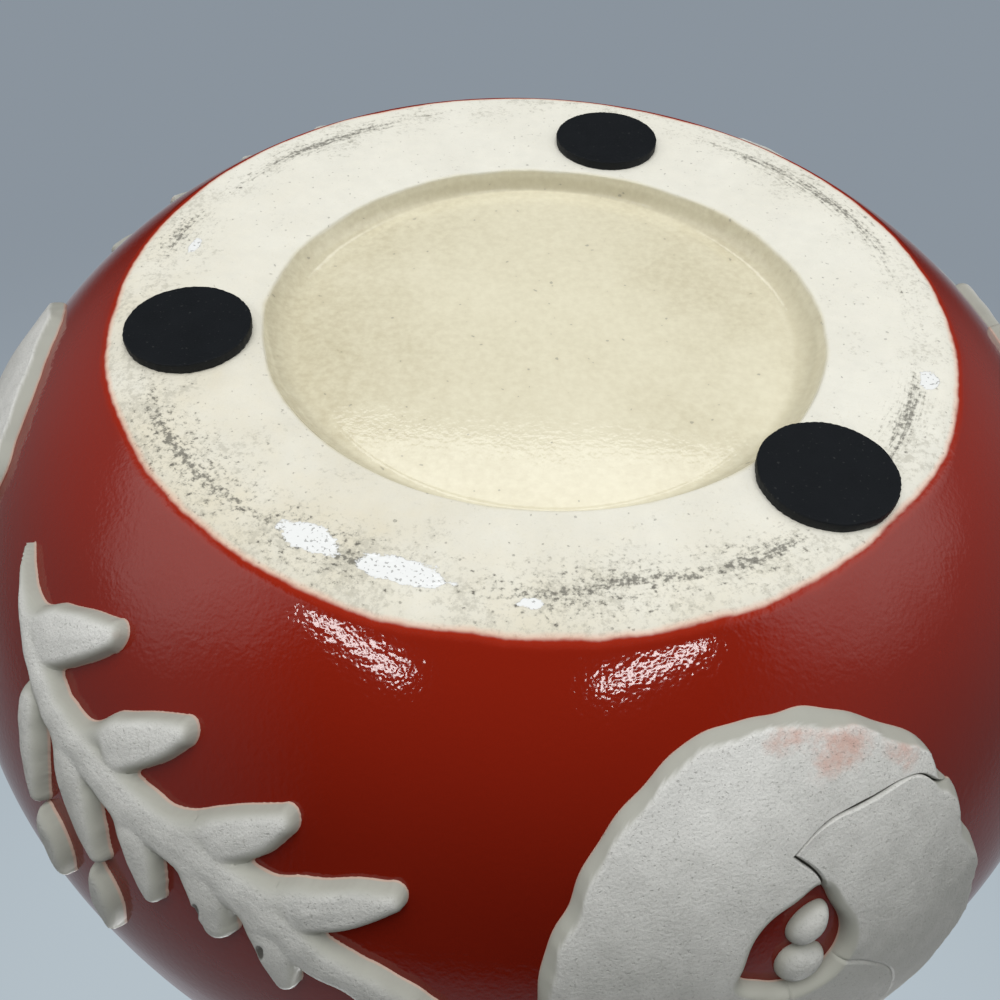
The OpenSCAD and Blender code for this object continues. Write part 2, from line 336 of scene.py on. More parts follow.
# Place of each drop of glaze on the foot, and its half widths along and across the ring, in millimetres
DRIPS = (
    (36.4, -68.3, 7.0, 3.0), (21.1, -74.5, 9.0, 3.0), (-76.5, -24.0, 3.2, 2.2),
    (73.4, 12.5, 3.0, 1.4), (0.3, -80.1, 2.4, 1.3),
)
# Bearing and spread of each scuffed stretch of the foot, in degrees
SCUFFS = ((148, 34), (49, 26), (12, 10), (-40, 22), (-64, 16), (-99, 21), (-118, 11), (-153, 14))
MOUTH_SOFT = 0.0006
# Stretch from front to back at the middle, the recess floor's edge, the recess mouth and the glaze line
RECESS_STRETCH = (1.03, 1.03, 0.956, 1.0)
# Rings of the section: recess floor in two parts, wall, foot, edge, sides, rim, inside and inner floor
FLOOR_RINGS = (10, 24)
WALL_RINGS = 28
FOOT_RINGS = 52
EDGE_RINGS = 7
SIDE_RINGS = (35, 26)
RIM_RINGS = 24
INSIDE_RINGS = (13, 9)
INNER_FLOOR_RINGS = 6
POT_COLS = 420
RIM_OVERLAP = 0.62
RIM_CLEAR = 0.00002
WOBBLE = 0.00035
FOOT_UNEVEN = 0.00012
FLOOR_UNEVEN = 0.00002
# Faint ridges in the far side of the recess floor: distance in from its edge, width, share of the rise
RIDGES = ((0.0012, 0.0005, 1.0), (0.0034, 0.0006, 0.8))
RIDGE_RISE = 0.00005
MOUTH_SINK = 0.0007
MOUTH_SINK_WIDTH = 0.0034
# Share of the base shift that the recess floor lacks
FLOOR_BACK = 0.18


def steps_after(start, end, count):
    """Even steps from start to end, without the start."""
    return np.linspace(start, end, count + 1)[1:]


def recess_fall(pot, share):
    """Height of the recess wall over the foot plane, by the share of the way from its floor to its mouth.

    Depth times one less the cube of the share, with its lower bound of zero rounded off at the mouth.
    """
    fall = pot.recess_depth * (1 - share ** 3.0)
    return 0.5 * (fall + np.sqrt(fall ** 2 + MOUTH_SOFT ** 2))


def pot_profile(pot, sheet):
    """The pot's section as radius, height and share of the base shift, from the recess out and over the rim.

    Recess floor, recess wall as a cove that steepens to a soft mouth, foot ring, rolled foot edge, outer
    ellipses, rounded rim, inner ellipses, floor. Also the distance along the section in from the red glaze's
    two edges and from the recess's edge, and which rings are inside.
    """
    recess_r = pot.recess_d / 2
    floor_r = recess_r - pot.recess_slope
    across, up = sheet.normal(np.array(-sheet.foot_lat))
    edge_turn = math.atan2(float(across), -float(up))
    edge_r = pot.foot_edge / (1 - math.cos(edge_turn))
    flat_r = sheet.foot_r - edge_r * math.sin(edge_turn)
    share = np.concatenate([np.linspace(0.02, 0.87, FLOOR_RINGS[0]), np.linspace(0.88, 1, FLOOR_RINGS[1])])
    parts = [(share * floor_r, pot.recess_depth, 1.0)]
    share = steps_after(0, 1, WALL_RINGS)
    parts.append((floor_r + pot.recess_slope * share, recess_fall(pot, share), 1.0))
    share = 1 - np.cos(steps_after(0, math.pi / 2, FOOT_RINGS))
    out = recess_r + (flat_r - recess_r) * share
    parts.append((out, recess_fall(pot, (out - floor_r) / pot.recess_slope), 1 - smooth_step(0, 1, share)))
    turn = steps_after(0, edge_turn, EDGE_RINGS)
    parts.append((flat_r + edge_r * np.sin(turn), edge_r * (1 - np.cos(turn)), 0.0))
    low_lat = steps_after(-sheet.foot_lat, 0, SIDE_RINGS[0])
    high_lat = steps_after(0, sheet.rim_lat - 0.012, SIDE_RINGS[1])
    parts.append((*sheet.point(np.concatenate([low_lat, high_lat])), 0.0))
    in_r = sheet.belly_r - pot.wall
    in_low = sheet.low_b - pot.wall
    in_high = sheet.high_b - pot.wall
    rim_r, rim_z = (float(v) for v in sheet.point(np.array(sheet.rim_lat)))
    across, up = (float(v) for v in sheet.normal(np.array(sheet.rim_lat)))
    in_lat = math.asin((rim_z - pot.wall * up - pot.belly_h) / in_high)
    centre_r = (rim_r + in_r * math.cos(in_lat)) / 2
    centre_z = (rim_z + pot.belly_h + in_high * math.sin(in_lat)) / 2
    lean = math.atan2(up, across)
    turn = np.linspace(lean - RIM_OVERLAP, lean + math.pi + RIM_OVERLAP, RIM_RINGS)
    half = pot.rim_t / 2 - RIM_CLEAR
    parts.append((centre_r + half * np.cos(turn), centre_z + half * np.sin(turn), 0.0))
    floor_z = pot.recess_depth + pot.floor_t
    floor_lat = math.asin((pot.belly_h - floor_z) / in_low)
    high_lat = np.linspace(in_lat - 0.03, 0, INSIDE_RINGS[0])
    lat = np.concatenate([high_lat, steps_after(0, -floor_lat, INSIDE_RINGS[1])])
    b = np.where(lat < 0, in_low, in_high)
    parts.append((in_r * np.cos(lat), pot.belly_h + b * np.sin(lat), 0.0))
    parts.append((in_r * math.cos(floor_lat) * steps_after(1, 0.03, INNER_FLOOR_RINGS), floor_z, 0.0))
    parts = [np.broadcast_arrays(*part) for part in parts]
    radius, height, shift = (np.concatenate(column) for column in zip(*parts))
    run = np.concatenate([[0], np.cumsum(np.hypot(np.diff(radius), np.diff(height)))])
    sizes = np.cumsum([len(p[0]) for p in parts])
    foot_run = run[sizes[3] - 1]
    lip_run = run[sizes[5] - 1] + pot.lip_line
    red = np.minimum(run - foot_run, lip_run - run)
    recess = run[sizes[1] - 1] - run
    inside = (np.arange(len(run)) >= sizes[5]).astype(float)
    return radius, height, shift, red, recess, inside


def build_pot(pot, sheet):
    """The pot: its section carried round the axis, with a slight hand-made wobble that only goes inwards.

    Rings of the base are shifted forward with the recess. The foot ring is a little uneven.
    """
    turn = np.linspace(0, 2 * math.pi, POT_COLS, endpoint=False)[None, :]
    radius, height, shift, red, recess, inside = (v[:, None] for v in pot_profile(pot, sheet))
    outer = smooth_step(0.0, 0.03, red) * (1 - inside)
    wobble = 0.5 + 0.5 * np.sin(2 * turn + 0.7 + 9 * height) * np.cos(3 * turn - 14 * height)
    around = radius - WOBBLE * outer * wobble
    hollow = smooth_step(0.0, 0.010, recess)
    uneven = waves(radius * np.cos(turn), radius * np.sin(turn), (0.047, 0.031, 0.019, 0.012), 0.4)
    base = (1 - inside) * (red < 0)
    rise = height + FOOT_UNEVEN * (1 + uneven) * (base * (1 - hollow)) + FLOOR_UNEVEN * uneven * hollow
    recess_r = pot.recess_d / 2
    floor_r = recess_r - pot.recess_slope
    inset = floor_r - radius
    ridge = sum(share * np.exp(-((inset - at) / wide) ** 2) for at, wide, share in RIDGES)
    rise = rise - RIDGE_RISE * ridge * base * smooth_step(-0.1, 0.7, np.sin(turn))
    left = smooth_step(0.1, 0.9, np.cos(turn + 0.25))
    rise = rise + MOUTH_SINK * left * base * np.exp(-(recess / MOUTH_SINK_WIDTH) ** 2)
    stretch = 1 + base * (np.interp(radius, (0, floor_r, recess_r, sheet.foot_r), RECESS_STRETCH) - 1)
    forward = pot.base_shift * shift * (1 - FLOOR_BACK * smooth_step(recess_r, floor_r, radius))
    x = around * np.cos(turn) - pot.base_aside * shift
    y = around * np.sin(turn) * stretch - forward
    z = rise + pot.pad_t + 0 * turn
    poles = [[-pot.base_aside, -forward[0, 0], z[0].mean()], [0, 0, z[-1].mean()]]
    points = np.concatenate([np.stack([x, y, z], -1).reshape(-1, 3), poles])
    drip = np.zeros(x.shape)
    bearing = np.arctan2(y, x)
    for px, py, long, wide in DRIPS:
        way = math.atan2(py, px)
        dx, dy = x / MM - px, y / MM - py
        along = -dx * math.sin(way) + dy * math.cos(way)
        out = dx * math.cos(way) + dy * math.sin(way)
        drip = np.maximum(drip, np.exp(-(along / long) ** 2 - (out / wide) ** 2))
    worn = np.zeros(x.shape)
    for centre, spread in SCUFFS:
        off = np.angle(np.exp(1j * (bearing - math.radians(centre))))
        worn = np.maximum(worn, np.exp(-(off / math.radians(spread)) ** 2))
    fields = {
        "red_reach": (red / MM + 0.5 + 0.8 * np.sin(turn), [-60, -60]),
        "recess_reach": (recess / MM + 0 * turn, [60, -400]),
        "inside": (inside + 0 * turn, [0, 1]),
        "drip": (drip * (inside < 0.5), [0, 0]),
        "worn": (worn, [0, 0]),
    }
    values = {key: np.concatenate([field.ravel(), at_poles]) for key, (field, at_poles) in fields.items()}
    return make_mesh("pot", points, lathe_faces(*x.shape), values)


# Pads

PAD_COLS = 144
PAD_FACE_RINGS = 12
PAD_SOFT = 0.00035
# Upper corner of a pad's section: distance in from its rim, and height
PAD_CORNER = ((0.0, 0.0012), (0.0001, 0.0021), (0.0004, 0.0024))
PAD_RAGGED = 0.00014
PAD_DIMPLE = 0.00005


def build_pad(node):
    """A foot pad: a disc turned from a section with soft corners, its rim a little ragged."""
    low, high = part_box(node)
    turn = np.linspace(0, 2 * math.pi, PAD_COLS, endpoint=False)[None, :]
    radius = (high.x - low.x) / 2
    bend = np.linspace(0, math.pi / 2, 6)
    flat_r = radius - PAD_SOFT
    corner_in, corner_z = np.array(PAD_CORNER).T
    section_r = np.concatenate([
        np.linspace(0.12, 0.96, PAD_FACE_RINGS) * flat_r, flat_r + PAD_SOFT * np.sin(bend),
        radius - corner_in, [radius * 0.5],
    ])
    section_z = np.concatenate([
        np.zeros(PAD_FACE_RINGS), PAD_SOFT * (1 - np.cos(bend)), corner_z, corner_z[-1:],
    ])
    ragged = waves(turn * 20, 0 * turn, (2.1, 3.3, 5.7, 1.3), 0.01 * len(node) + low.x * 9)
    rim = smooth_step(0.7, 1.0, section_r / radius)[:, None]
    around = section_r[:, None] - PAD_RAGGED * rim * (1 + ragged)
    dimple = waves(around * np.cos(turn), around * np.sin(turn), (0.009, 0.006, 0.0035), 1.3)
    z = section_z[:, None] + PAD_DIMPLE * (1 + dimple) * (1 - rim) + 0 * turn
    middle = (low + high) / 2
    points = np.stack([middle.x + around * np.cos(turn), middle.y + around * np.sin(turn), z], -1)
    poles = [[middle.x, middle.y, points[0, :, 2].mean()], [middle.x, middle.y, section_z[-1]]]
    return make_mesh(node + "_rubber", np.concatenate([points.reshape(-1, 3), poles]), lathe_faces(*z.shape))


# Sprigs

FOOT_LEAVES = (
    (0.081, 4.1, 0.89, -2, 1.02, 0.51), (0.168, 5.8, 0.80, -4, 0.91, 0.45),
    (0.257, 6.8, 0.71, -4, 0.80, 0.47), (0.327, 4.9, 0.855, -12, 0.80, 0.45),
)
RIM_LEAVES = (
    (0.098, 8.0, 0.93, -4, 0.80, 0.45), (0.147, 6.5, 0.88, -13, 1.08, 0.47),
    (0.207, 5.0, 0.605, 0, 0.94, 0.47), (0.260, 2.6, 0.50, 5, 0.99, 0.70),
    (0.316, 4.2, 0.51, 5, 0.94, 0.56), (0.43, 3.0, 0.70, 0, 0.99, 0.55),
    (0.56, 3.0, 0.80, 2, 0.96, 0.52), (0.70, 3.0, 0.85, -3, 1.0, 0.50), (0.84, 3.0, 0.75, 0, 0.95, 0.55),
)
# Share along the stem, millimetres to the side of its line, and half width as a share of the stem's own
STEM_KNOTS = (
    (0.0, 0.0, 0.14), (0.02, -0.5, 0.40), (0.044, -0.9, 0.70), (0.08, -1.6, 1.10), (0.116, -3.0, 1.20),
    (0.153, -1.6, 1.33), (0.196, -1.0, 1.5), (0.24, 0.8, 1.47), (0.284, 0.8, 1.47), (0.348, -2.5, 1.30),
    (0.445, -1.7, 1.07), (0.88, 0.0, 1.0), (1.0, 0.0, 0.13),
)
# Each loose leaf's place in the rim-side leaves, millimetres to the side of that leaf, and lean in degrees
LOOSE_LEAVES = ((0, 0.4, 3.0), (1, -2.9, -20.0))
LOOSE_GAP = 0.0003
LOOSE_END = 0.3
LOOSE_BULGE = 0.32
LOOSE_RAGGED = 0.0002
LOOSE_LUMP = 0.00015
# Handles of the stem's bend after its cut end, in radii of the bloom
STEM_SHARES = ((2.7, 0.0), (-0.7, -0.4), (2.7, 1.0), (0.0, 1.55))
# Opposite corners of the stretch of sheet that a sprig is worked out on
SPRIG_SPAN = ((-0.016, -0.046), (0.176, 0.092))
SPRIG_SHOULDER = 0.0023
SPRIG_RAGGED = 0.00018
SPRIG_LUMP = 0.00017
SPRIG_CROWN = 0.0003
FOLD_DEPTH = 0.00012
FOLD_HALF = 0.0014
CHIP_DEPTH = 0.0005
# Depth of the relief's edge and of its underside in the glaze
BURIED = 0.0009
UNDERSIDE = -BURIED - 0.0004
LEAF_BOW = 0.0005
# Reach of the fillet in a leaf's armpit, and what it gains on the other side, by the side of the stem
FILLET = 0.0016
FOOT_FILLET = 0.007
RIM_FILLET = 0.004
SPRIG_CREASE = math.radians(70)
PETAL_CREASE = math.radians(75)


def bezier(handles, s):
    """A smooth bend through its handles' pulls: the sum of the handles by their Bernstein weights."""
    n = len(handles) - 1
    weights = np.stack([math.comb(n, k) * s ** k * (1 - s) ** (n - k) for k in range(n + 1)], -1)
    return weights @ handles


def turned(way, turn):
    """A flat direction turned by an angle."""
    c, s = math.cos(turn), math.sin(turn)
    return np.stack([way[..., 0] * c - way[..., 1] * s, way[..., 0] * s + way[..., 1] * c], -1)


class SprigPlan:
    """The sprig's stem and leaves as distances on the flat sheet.

    A leaf is given by its share along the stem, its start beside the stem in millimetres, its length as a
    share of a full leaf, its lean beyond the leaf angle, and its half widths as shares of the leaf's own.
    """

    def __init__(self, relief):
        self.handles = np.array([(relief.stem_reach, -relief.stem_drop)] + [
            (a * PLAN_BLOOM_R, b * PLAN_BLOOM_R) for a, b in STEM_SHARES
        ])
        self.pulls = np.diff(self.handles, axis=0) * (len(self.handles) - 1)
        self.stem_half = relief.stem_w / 2
        self.leaves = [self.leaf(relief, 1, relief.leaf_w, *row) for row in FOOT_LEAVES]
        self.leaves += [self.leaf(relief, -1, relief.rim_leaf_w, *row) for row in RIM_LEAVES]
        self.loose = []
        for k, aside, lean in LOOSE_LEAVES:
            start, tip, _, narrow = self.leaves[len(FOOT_LEAVES) + k]
            along = (tip - start) / np.hypot(*(tip - start))
            way = turned(along, math.radians(lean))
            base = tip + along * (narrow + LOOSE_GAP) + turned(along, math.pi / 2) * aside * MM
            half = relief.loose_w / 2
            ends = base + way * half * LOOSE_END, base + way * (relief.loose_l - half * LOOSE_END)
            self.loose.append((*ends, half * LOOSE_END, half * LOOSE_END))

    def way(self, s):
        """Unit direction of the stem at a share of its length."""
        pull = bezier(self.pulls, np.asarray(s, float))
        return pull / np.linalg.norm(pull, axis=-1, keepdims=True)

    def leaf(self, relief, side, width, s, aside, share, lean, base_share, tip_share):
        """A leaf's core line from beside the stem to near its tip, with its half width at each end."""
        way = turned(self.way(s), side * (relief.leaf_angle + math.radians(lean)))
        out = turned(self.way(s), side * math.pi / 2)
        start = bezier(self.handles, np.asarray(s, float)) + out * aside * MM
        tip_half = width / 2 * tip_share
        return start, start + way * (relief.leaf_l * share - tip_half), width / 2 * base_share, tip_half

    def cone(self, x, y, leaf, bulge=LEAF_BOW):
        """Distance to a round-ended cone with bowed sides: off its core line, less the half width there.

        Also the signed distance to the side of the core line.
        """
        start, tip, wide, narrow = leaf
        core = tip - start
        dx, dy = x - start[0], y - start[1]
        t = np.clip((dx * core[0] + dy * core[1]) / (core @ core), 0, 1)
        gap = np.hypot(dx - t * core[0], dy - t * core[1])
        beside = (core[0] * dy - core[1] * dx) / np.hypot(*core)
        return gap - (wide + (narrow - wide) * t + 4 * bulge * t * (1 - t)), beside

    def stem(self, x, y):
        """Distance to the stem: off the nearest point of its weaving line, less the half width there."""
        s = 0.5 - 0.5 * np.cos(np.linspace(0, math.pi, 320))
        at, aside, half = (np.array(column) for column in zip(*STEM_KNOTS))
        beside = turned(self.way(s), math.pi / 2) * np.interp(s, at, aside)[:, None] * MM
        line = bezier(self.handles, s) + beside
        half = self.stem_half * np.interp(s, at, half)
        best = np.full(np.broadcast(x, y).shape, 1.0)
        for (px, py), h in zip(line, half):
            best = np.minimum(best, np.hypot(x - px, y - py) - h)
        return best

    def distances(self, x, y):
        """Distances to the stem and to every leaf, and to all of them run together.

        A leaf runs into the stem with a wide fillet on the side of the cut end and a tight one in its armpit.
        """
        each = [self.stem(x, y)]
        joined = each[0]
        for k, leaf in enumerate(self.leaves):
            gap, beside = self.cone(x, y, leaf)
            side, wide = (1, FOOT_FILLET) if k < len(FOOT_LEAVES) else (-1, RIM_FILLET)
            each.append(gap)
            joined = soft_union(joined, gap, FILLET + wide * smooth_step(-0.001, 0.003, side * beside))
        return np.stack(each), joined


def soft_union(a, b, reach):
    """The smaller of two distances, rounded where they come within reach of each other."""
    near = np.maximum(reach - np.abs(a - b), 0) / reach
    return np.minimum(a, b) - near * near * reach / 4


def clay_rise(inset, full, shoulder):
    """Height over the glaze: a quarter round up from the edge, and steeply down outside it."""
    share = np.clip(inset / shoulder, 0, 1)
    round_up = full * np.sqrt(1 - (1 - share) ** 2)
    return np.where(inset > 0, round_up, np.maximum(3.0 * inset, -BURIED))


def shown_cells(rise):
    """Cells with a corner above the depth where the relief's edge ends."""
    return cell_corners(rise).max(0) > -BURIED * 0.999


def sprig_fields(plan, x, y, full, seed):
    """Height, inset from the ragged outline and owner distances of a sprig.

    The height is a quarter round with a low crown and hand-pressed lumps. Leaves on the rim side meet the
    stem in a shallow fold that fades inwards.
    """
    each, joined = plan.distances(x, y)
    inset = SPRIG_RAGGED * waves(x, y, (0.013, 0.008, 0.0052), seed) - joined
    lump = SPRIG_LUMP * waves(x, y, (0.021, 0.014, 0.0095, 0.0062), seed + 0.8)
    rise = clay_rise(inset, full, SPRIG_SHOULDER)
    crown = SPRIG_CROWN * smooth_step(0.0012, 0.0055, inset)
    order = np.argsort(each, axis=0)[:2]
    two = np.take_along_axis(each, order, axis=0)
    rim_side = (order > len(FOOT_LEAVES)).any(axis=0)
    fold = FOLD_DEPTH * rim_side * np.exp(-((two[1] - two[0]) / FOLD_HALF) ** 2)
    fold = fold * (1 - smooth_step(0.0015, 0.0050, inset))
    return rise + (lump + crown - fold) * smooth_step(0.0004, 0.0022, inset), inset, each


def sprig_flank(inset):
    """Where the sides of a sprig show: 1 at its outline, 0 on top."""
    return 1 - smooth_step(0.0005, 0.0021, inset)


def grid_of(low, high, step):
    """Even grid coordinates over a rectangle of the sheet."""
    xs = np.arange(low[0], high[0], step)
    ys = np.arange(low[1], high[1], step)
    return np.meshgrid(xs, ys)


def snap_to_edges(x, y, each, inset, step):
    """Moves grid points beside a seam or the outline on to it, so that pieces part along clean lines.

    Each moves down the difference of its two smallest distances, or down the inset, by half a step at most.
    """
    order = np.argsort(each, axis=0)[:2]
    near = np.take_along_axis(each, order, axis=0)
    slope_y, slope_x = np.gradient(each, step, axis=(1, 2))
    seam_x = np.diff(np.take_along_axis(slope_x, order, axis=0), axis=0)[0]
    seam_y = np.diff(np.take_along_axis(slope_y, order, axis=0), axis=0)[0]
    edge_y, edge_x = np.gradient(inset, step)
    moved = np.zeros(x.shape, bool)
    for gap, gx, gy in ((near[1] - near[0], seam_x, seam_y), (inset, edge_x, edge_y)):
        size = np.maximum(gx * gx + gy * gy, 1e-6)
        dx, dy = -gap * gx / size, -gap * gy / size
        move = (np.hypot(dx, dy) < 0.5 * step) & ~moved
        x, y = x + np.where(move, dx, 0), y + np.where(move, dy, 0)
        moved |= move
    return x, y


def build_sprig(motif, sheet, relief, plan, material):
    """One sprig: a height field over the sheet, split into the stem and its leaves by which is nearest."""
    step = relief.cell
    x, y = grid_of(*SPRIG_SPAN, step)
    _, inset, each = sprig_fields(plan, x, y, relief.height, 0.6 * motif)
    x, y = snap_to_edges(x, y, each, inset, step)
    rise, inset, each = sprig_fields(plan, x, y, relief.height, 0.6 * motif)
    blush = stain(x, y, SPRIG_STAINS[motif - 1])
    chip = stain(x, y, SPRIG_CHIPS[motif - 1])
    top = sheet.place(motif, x, y, rise - CHIP_DEPTH * smooth_step(0.3, 0.8, chip))
    under = sheet.place(motif, x, y, np.full(x.shape, UNDERSIDE))
    values = {"rise": rise / MM, "flank": sprig_flank(inset), "blush": blush, "chip": chip}
    owner = np.argmin(cell_corners(each).mean(0), axis=0)
    shown = shown_cells(rise)
    for k in range(len(each)):
        part = "stem" if k == 0 else f"leaf_{k}"
        node = f"sprig_{motif}_{part}"
        piece = closed_sheet(node + "_clay", top, under, shown & (owner == k), values, SPRIG_CREASE)
        finish_piece(piece, material, "relief_clay", node)


def build_loose(sheet, relief, plan, material):
    """The loose leaves beyond the first rim-side leaves: the same height field, on a small grid for each."""
    points, faces, rises, flanks = [], [], [], []
    count = 0
    bulge = relief.loose_w * LOOSE_BULGE
    margin = bulge + 0.002
    for motif in MOTIFS:
        for leaf in plan.loose:
            low, high = np.minimum(leaf[0], leaf[1]) - margin, np.maximum(leaf[0], leaf[1]) + margin
            x, y = grid_of(low, high, relief.cell)
            inset = LOOSE_RAGGED * waves(x, y, (0.009, 0.006), motif) - plan.cone(x, y, leaf, bulge)[0]
            rise = clay_rise(inset, relief.height, SPRIG_SHOULDER)
            lump = LOOSE_LUMP * waves(x, y, (0.011, 0.007), motif + 2.0)
            rise = rise + lump * smooth_step(0, 0.002, inset)
            top, under = (sheet.place(motif, x, y, lift) for lift in (rise, np.full(x.shape, UNDERSIDE)))
            values = {"rise": rise / MM, "flank": sprig_flank(inset)}
            corners, quads, both = slab(top, under, shown_cells(rise), values)
            points.append(corners)
            faces.append(quads + count)
            rises.append(both["rise"])
            flanks.append(both["flank"])
            count += len(corners)
    rises = np.concatenate(rises)
    values = {"rise": rises, "flank": np.concatenate(flanks), "blush": 0 * rises, "chip": 0 * rises}
    piece = make_mesh("loose_leaves_clay", np.concatenate(points), faces, values, SPRIG_CREASE)
    return finish_piece(piece, material, "relief_clay", "loose_leaves")


# Blooms

# Bearings of the seams at the rim, and the grid of each petal between them
PETAL_SEAMS = (200.0, 390.0, 470.0, 560.0)
PETAL_COLS = (190, 110, 110)
PETAL_ROWS = 60
# Swirl of a seam from rim to opening, its bow, and the beak of the first seam, in degrees and shares
SWIRL = 50.0
SWIRL_BOW = 8.0
SEAM_TURN = 5.0
BEAK_TURN = 21.5
BEAK_AT = 0.30
BEAK_FOOT = -9.0
MOUTH_SHOULDER = 0.0020
# Least width of a petal's bevel at the rim, and what its scallops and its ragged edge add
BEVEL_LEAST = 0.0015
BEVEL_SCALLOP = 0.0026
BEVEL_RAGGED = 0.0003
# Height of a petal at its rim as a share of the relief, its gain inwards, and how far in that reaches
DOME_EDGE = 0.84
DOME_GAIN = 0.16
DOME_REACH = 0.018
PETAL_LUMP = 0.00014
# How far the petal before a seam stands up, the petal after it, and how fast that fades
SEAM_STEP = (0.00016, -0.00006)
SEAM_FADE = 0.006
CRACK_DEPTH = 0.0014
CRACK_HALF = 0.0006
CRACK_STAIN = 0.00036
BEAD_GRID = (26, 36)
BEAD_SUNK = 0.35
BEAD_LUMP = 0.00012
# Middle, half widths and lean of each stamen bead, in millimetres and degrees
BEADS = ((-3.1, -6.3, 4.4, 2.9, 37.0), (-1.3, 1.2, 4.4, 3.7, 5.0))
# How much flatter each bloom is toward the foot, in millimetres
BLOOM_FLAT = (0.0, 3.5, 1.5)
RIM_RUN = 40

# Spots on each motif's sheet: middle and half widths, in millimetres
BLOOM_STAINS = (
    ((-14, -33, 11, 6), (-27, -28, 7, 5), (-4, -37, 8, 3)),
    ((16, 33, 10, 6), (-30, 12, 6, 8)),
    ((22, -30, 9, 5),),
)
SPRIG_STAINS = (((132, -36, 3, 3),), ((84, -25, 4, 3),), ((108, -31, 3, 3), (64, -18, 4, 3)))
SPRIG_CHIPS = (
    ((98.6, -3.0, 1.0, 2.0), (86.4, -1.2, 0.9, 1.7)), ((119, -2, 0.8, 1.6),), ((107, -4, 1.0, 1.5),),
)


def stain(x, y, spots):
    """Soft spots on the sheet: each is a bell of the given half widths about its middle, in millimetres."""
    total = np.zeros(x.shape)
    for cx, cy, wide, tall in spots:
        total = np.maximum(total, np.exp(-((x / MM - cx) / wide) ** 2 - ((y / MM - cy) / tall) ** 2))
    return total


def bell(turn, middle, spread):
    """A soft bump round a bearing, all in degrees."""
    return np.exp(-((np.mod(turn - middle + 180, 360) - 180) / spread) ** 2)


def opening_edge(turn):
    """Radius of the bloom's opening at a bearing in degrees: an off-centre circle with two long corners."""
    circle = 8.4 + 3.0 * np.cos(np.radians(turn + 100))
    return (circle + 2.8 * bell(turn, -112, 15) + 1.9 * bell(turn, 2, 17)) * MM


def bloom_edge(turn, motif):
    """Radius of the bloom's outline less its mean: fuller to one side, with a lobe, dents and a ragged wave.

    The second and third blooms are flatter toward the foot.
    """
    lobe = 1.2 * np.cos(np.radians(turn + 40)) + 1.9 * bell(turn, -139, 8) - 1.3 * bell(turn, -92, 15)
    dent = 1.6 * bell(turn, -168, 6) + 0.7 * bell(turn, -149, 4) + 0.9 * bell(turn, -25, 5)
    run = turn / 360 * 2 * math.pi * RIM_RUN
    ragged = 0.45 * waves(run, 0 * run, (41.9, 19.0, 11.2, 6.98, 4.65), 0.9 * motif)
    return (lobe - dent + ragged - BLOOM_FLAT[motif - 1] * bell(turn, -95, 50)) * MM


def seam_bearing(seam, t):
    """Bearing of a petal seam: it swirls inwards with a bow. The first one has a beak before the opening."""
    plain = seam + SWIRL * (1 - t) + SWIRL_BOW * np.sin(math.pi * t)
    if seam % 360 != PETAL_SEAMS[0]:
        return plain
    outer = BEAK_TURN * np.clip((1 - t) / (1 - BEAK_AT), 0, 1) ** 6
    at_beak = SWIRL * (1 - BEAK_AT) + SWIRL_BOW * math.sin(math.pi * BEAK_AT) + BEAK_TURN
    inner = seam + BEAK_FOOT + SWIRL + (at_beak - BEAK_FOOT - SWIRL) * t / BEAK_AT
    return SEAM_TURN + np.where(t > BEAK_AT, plain + outer, inner)


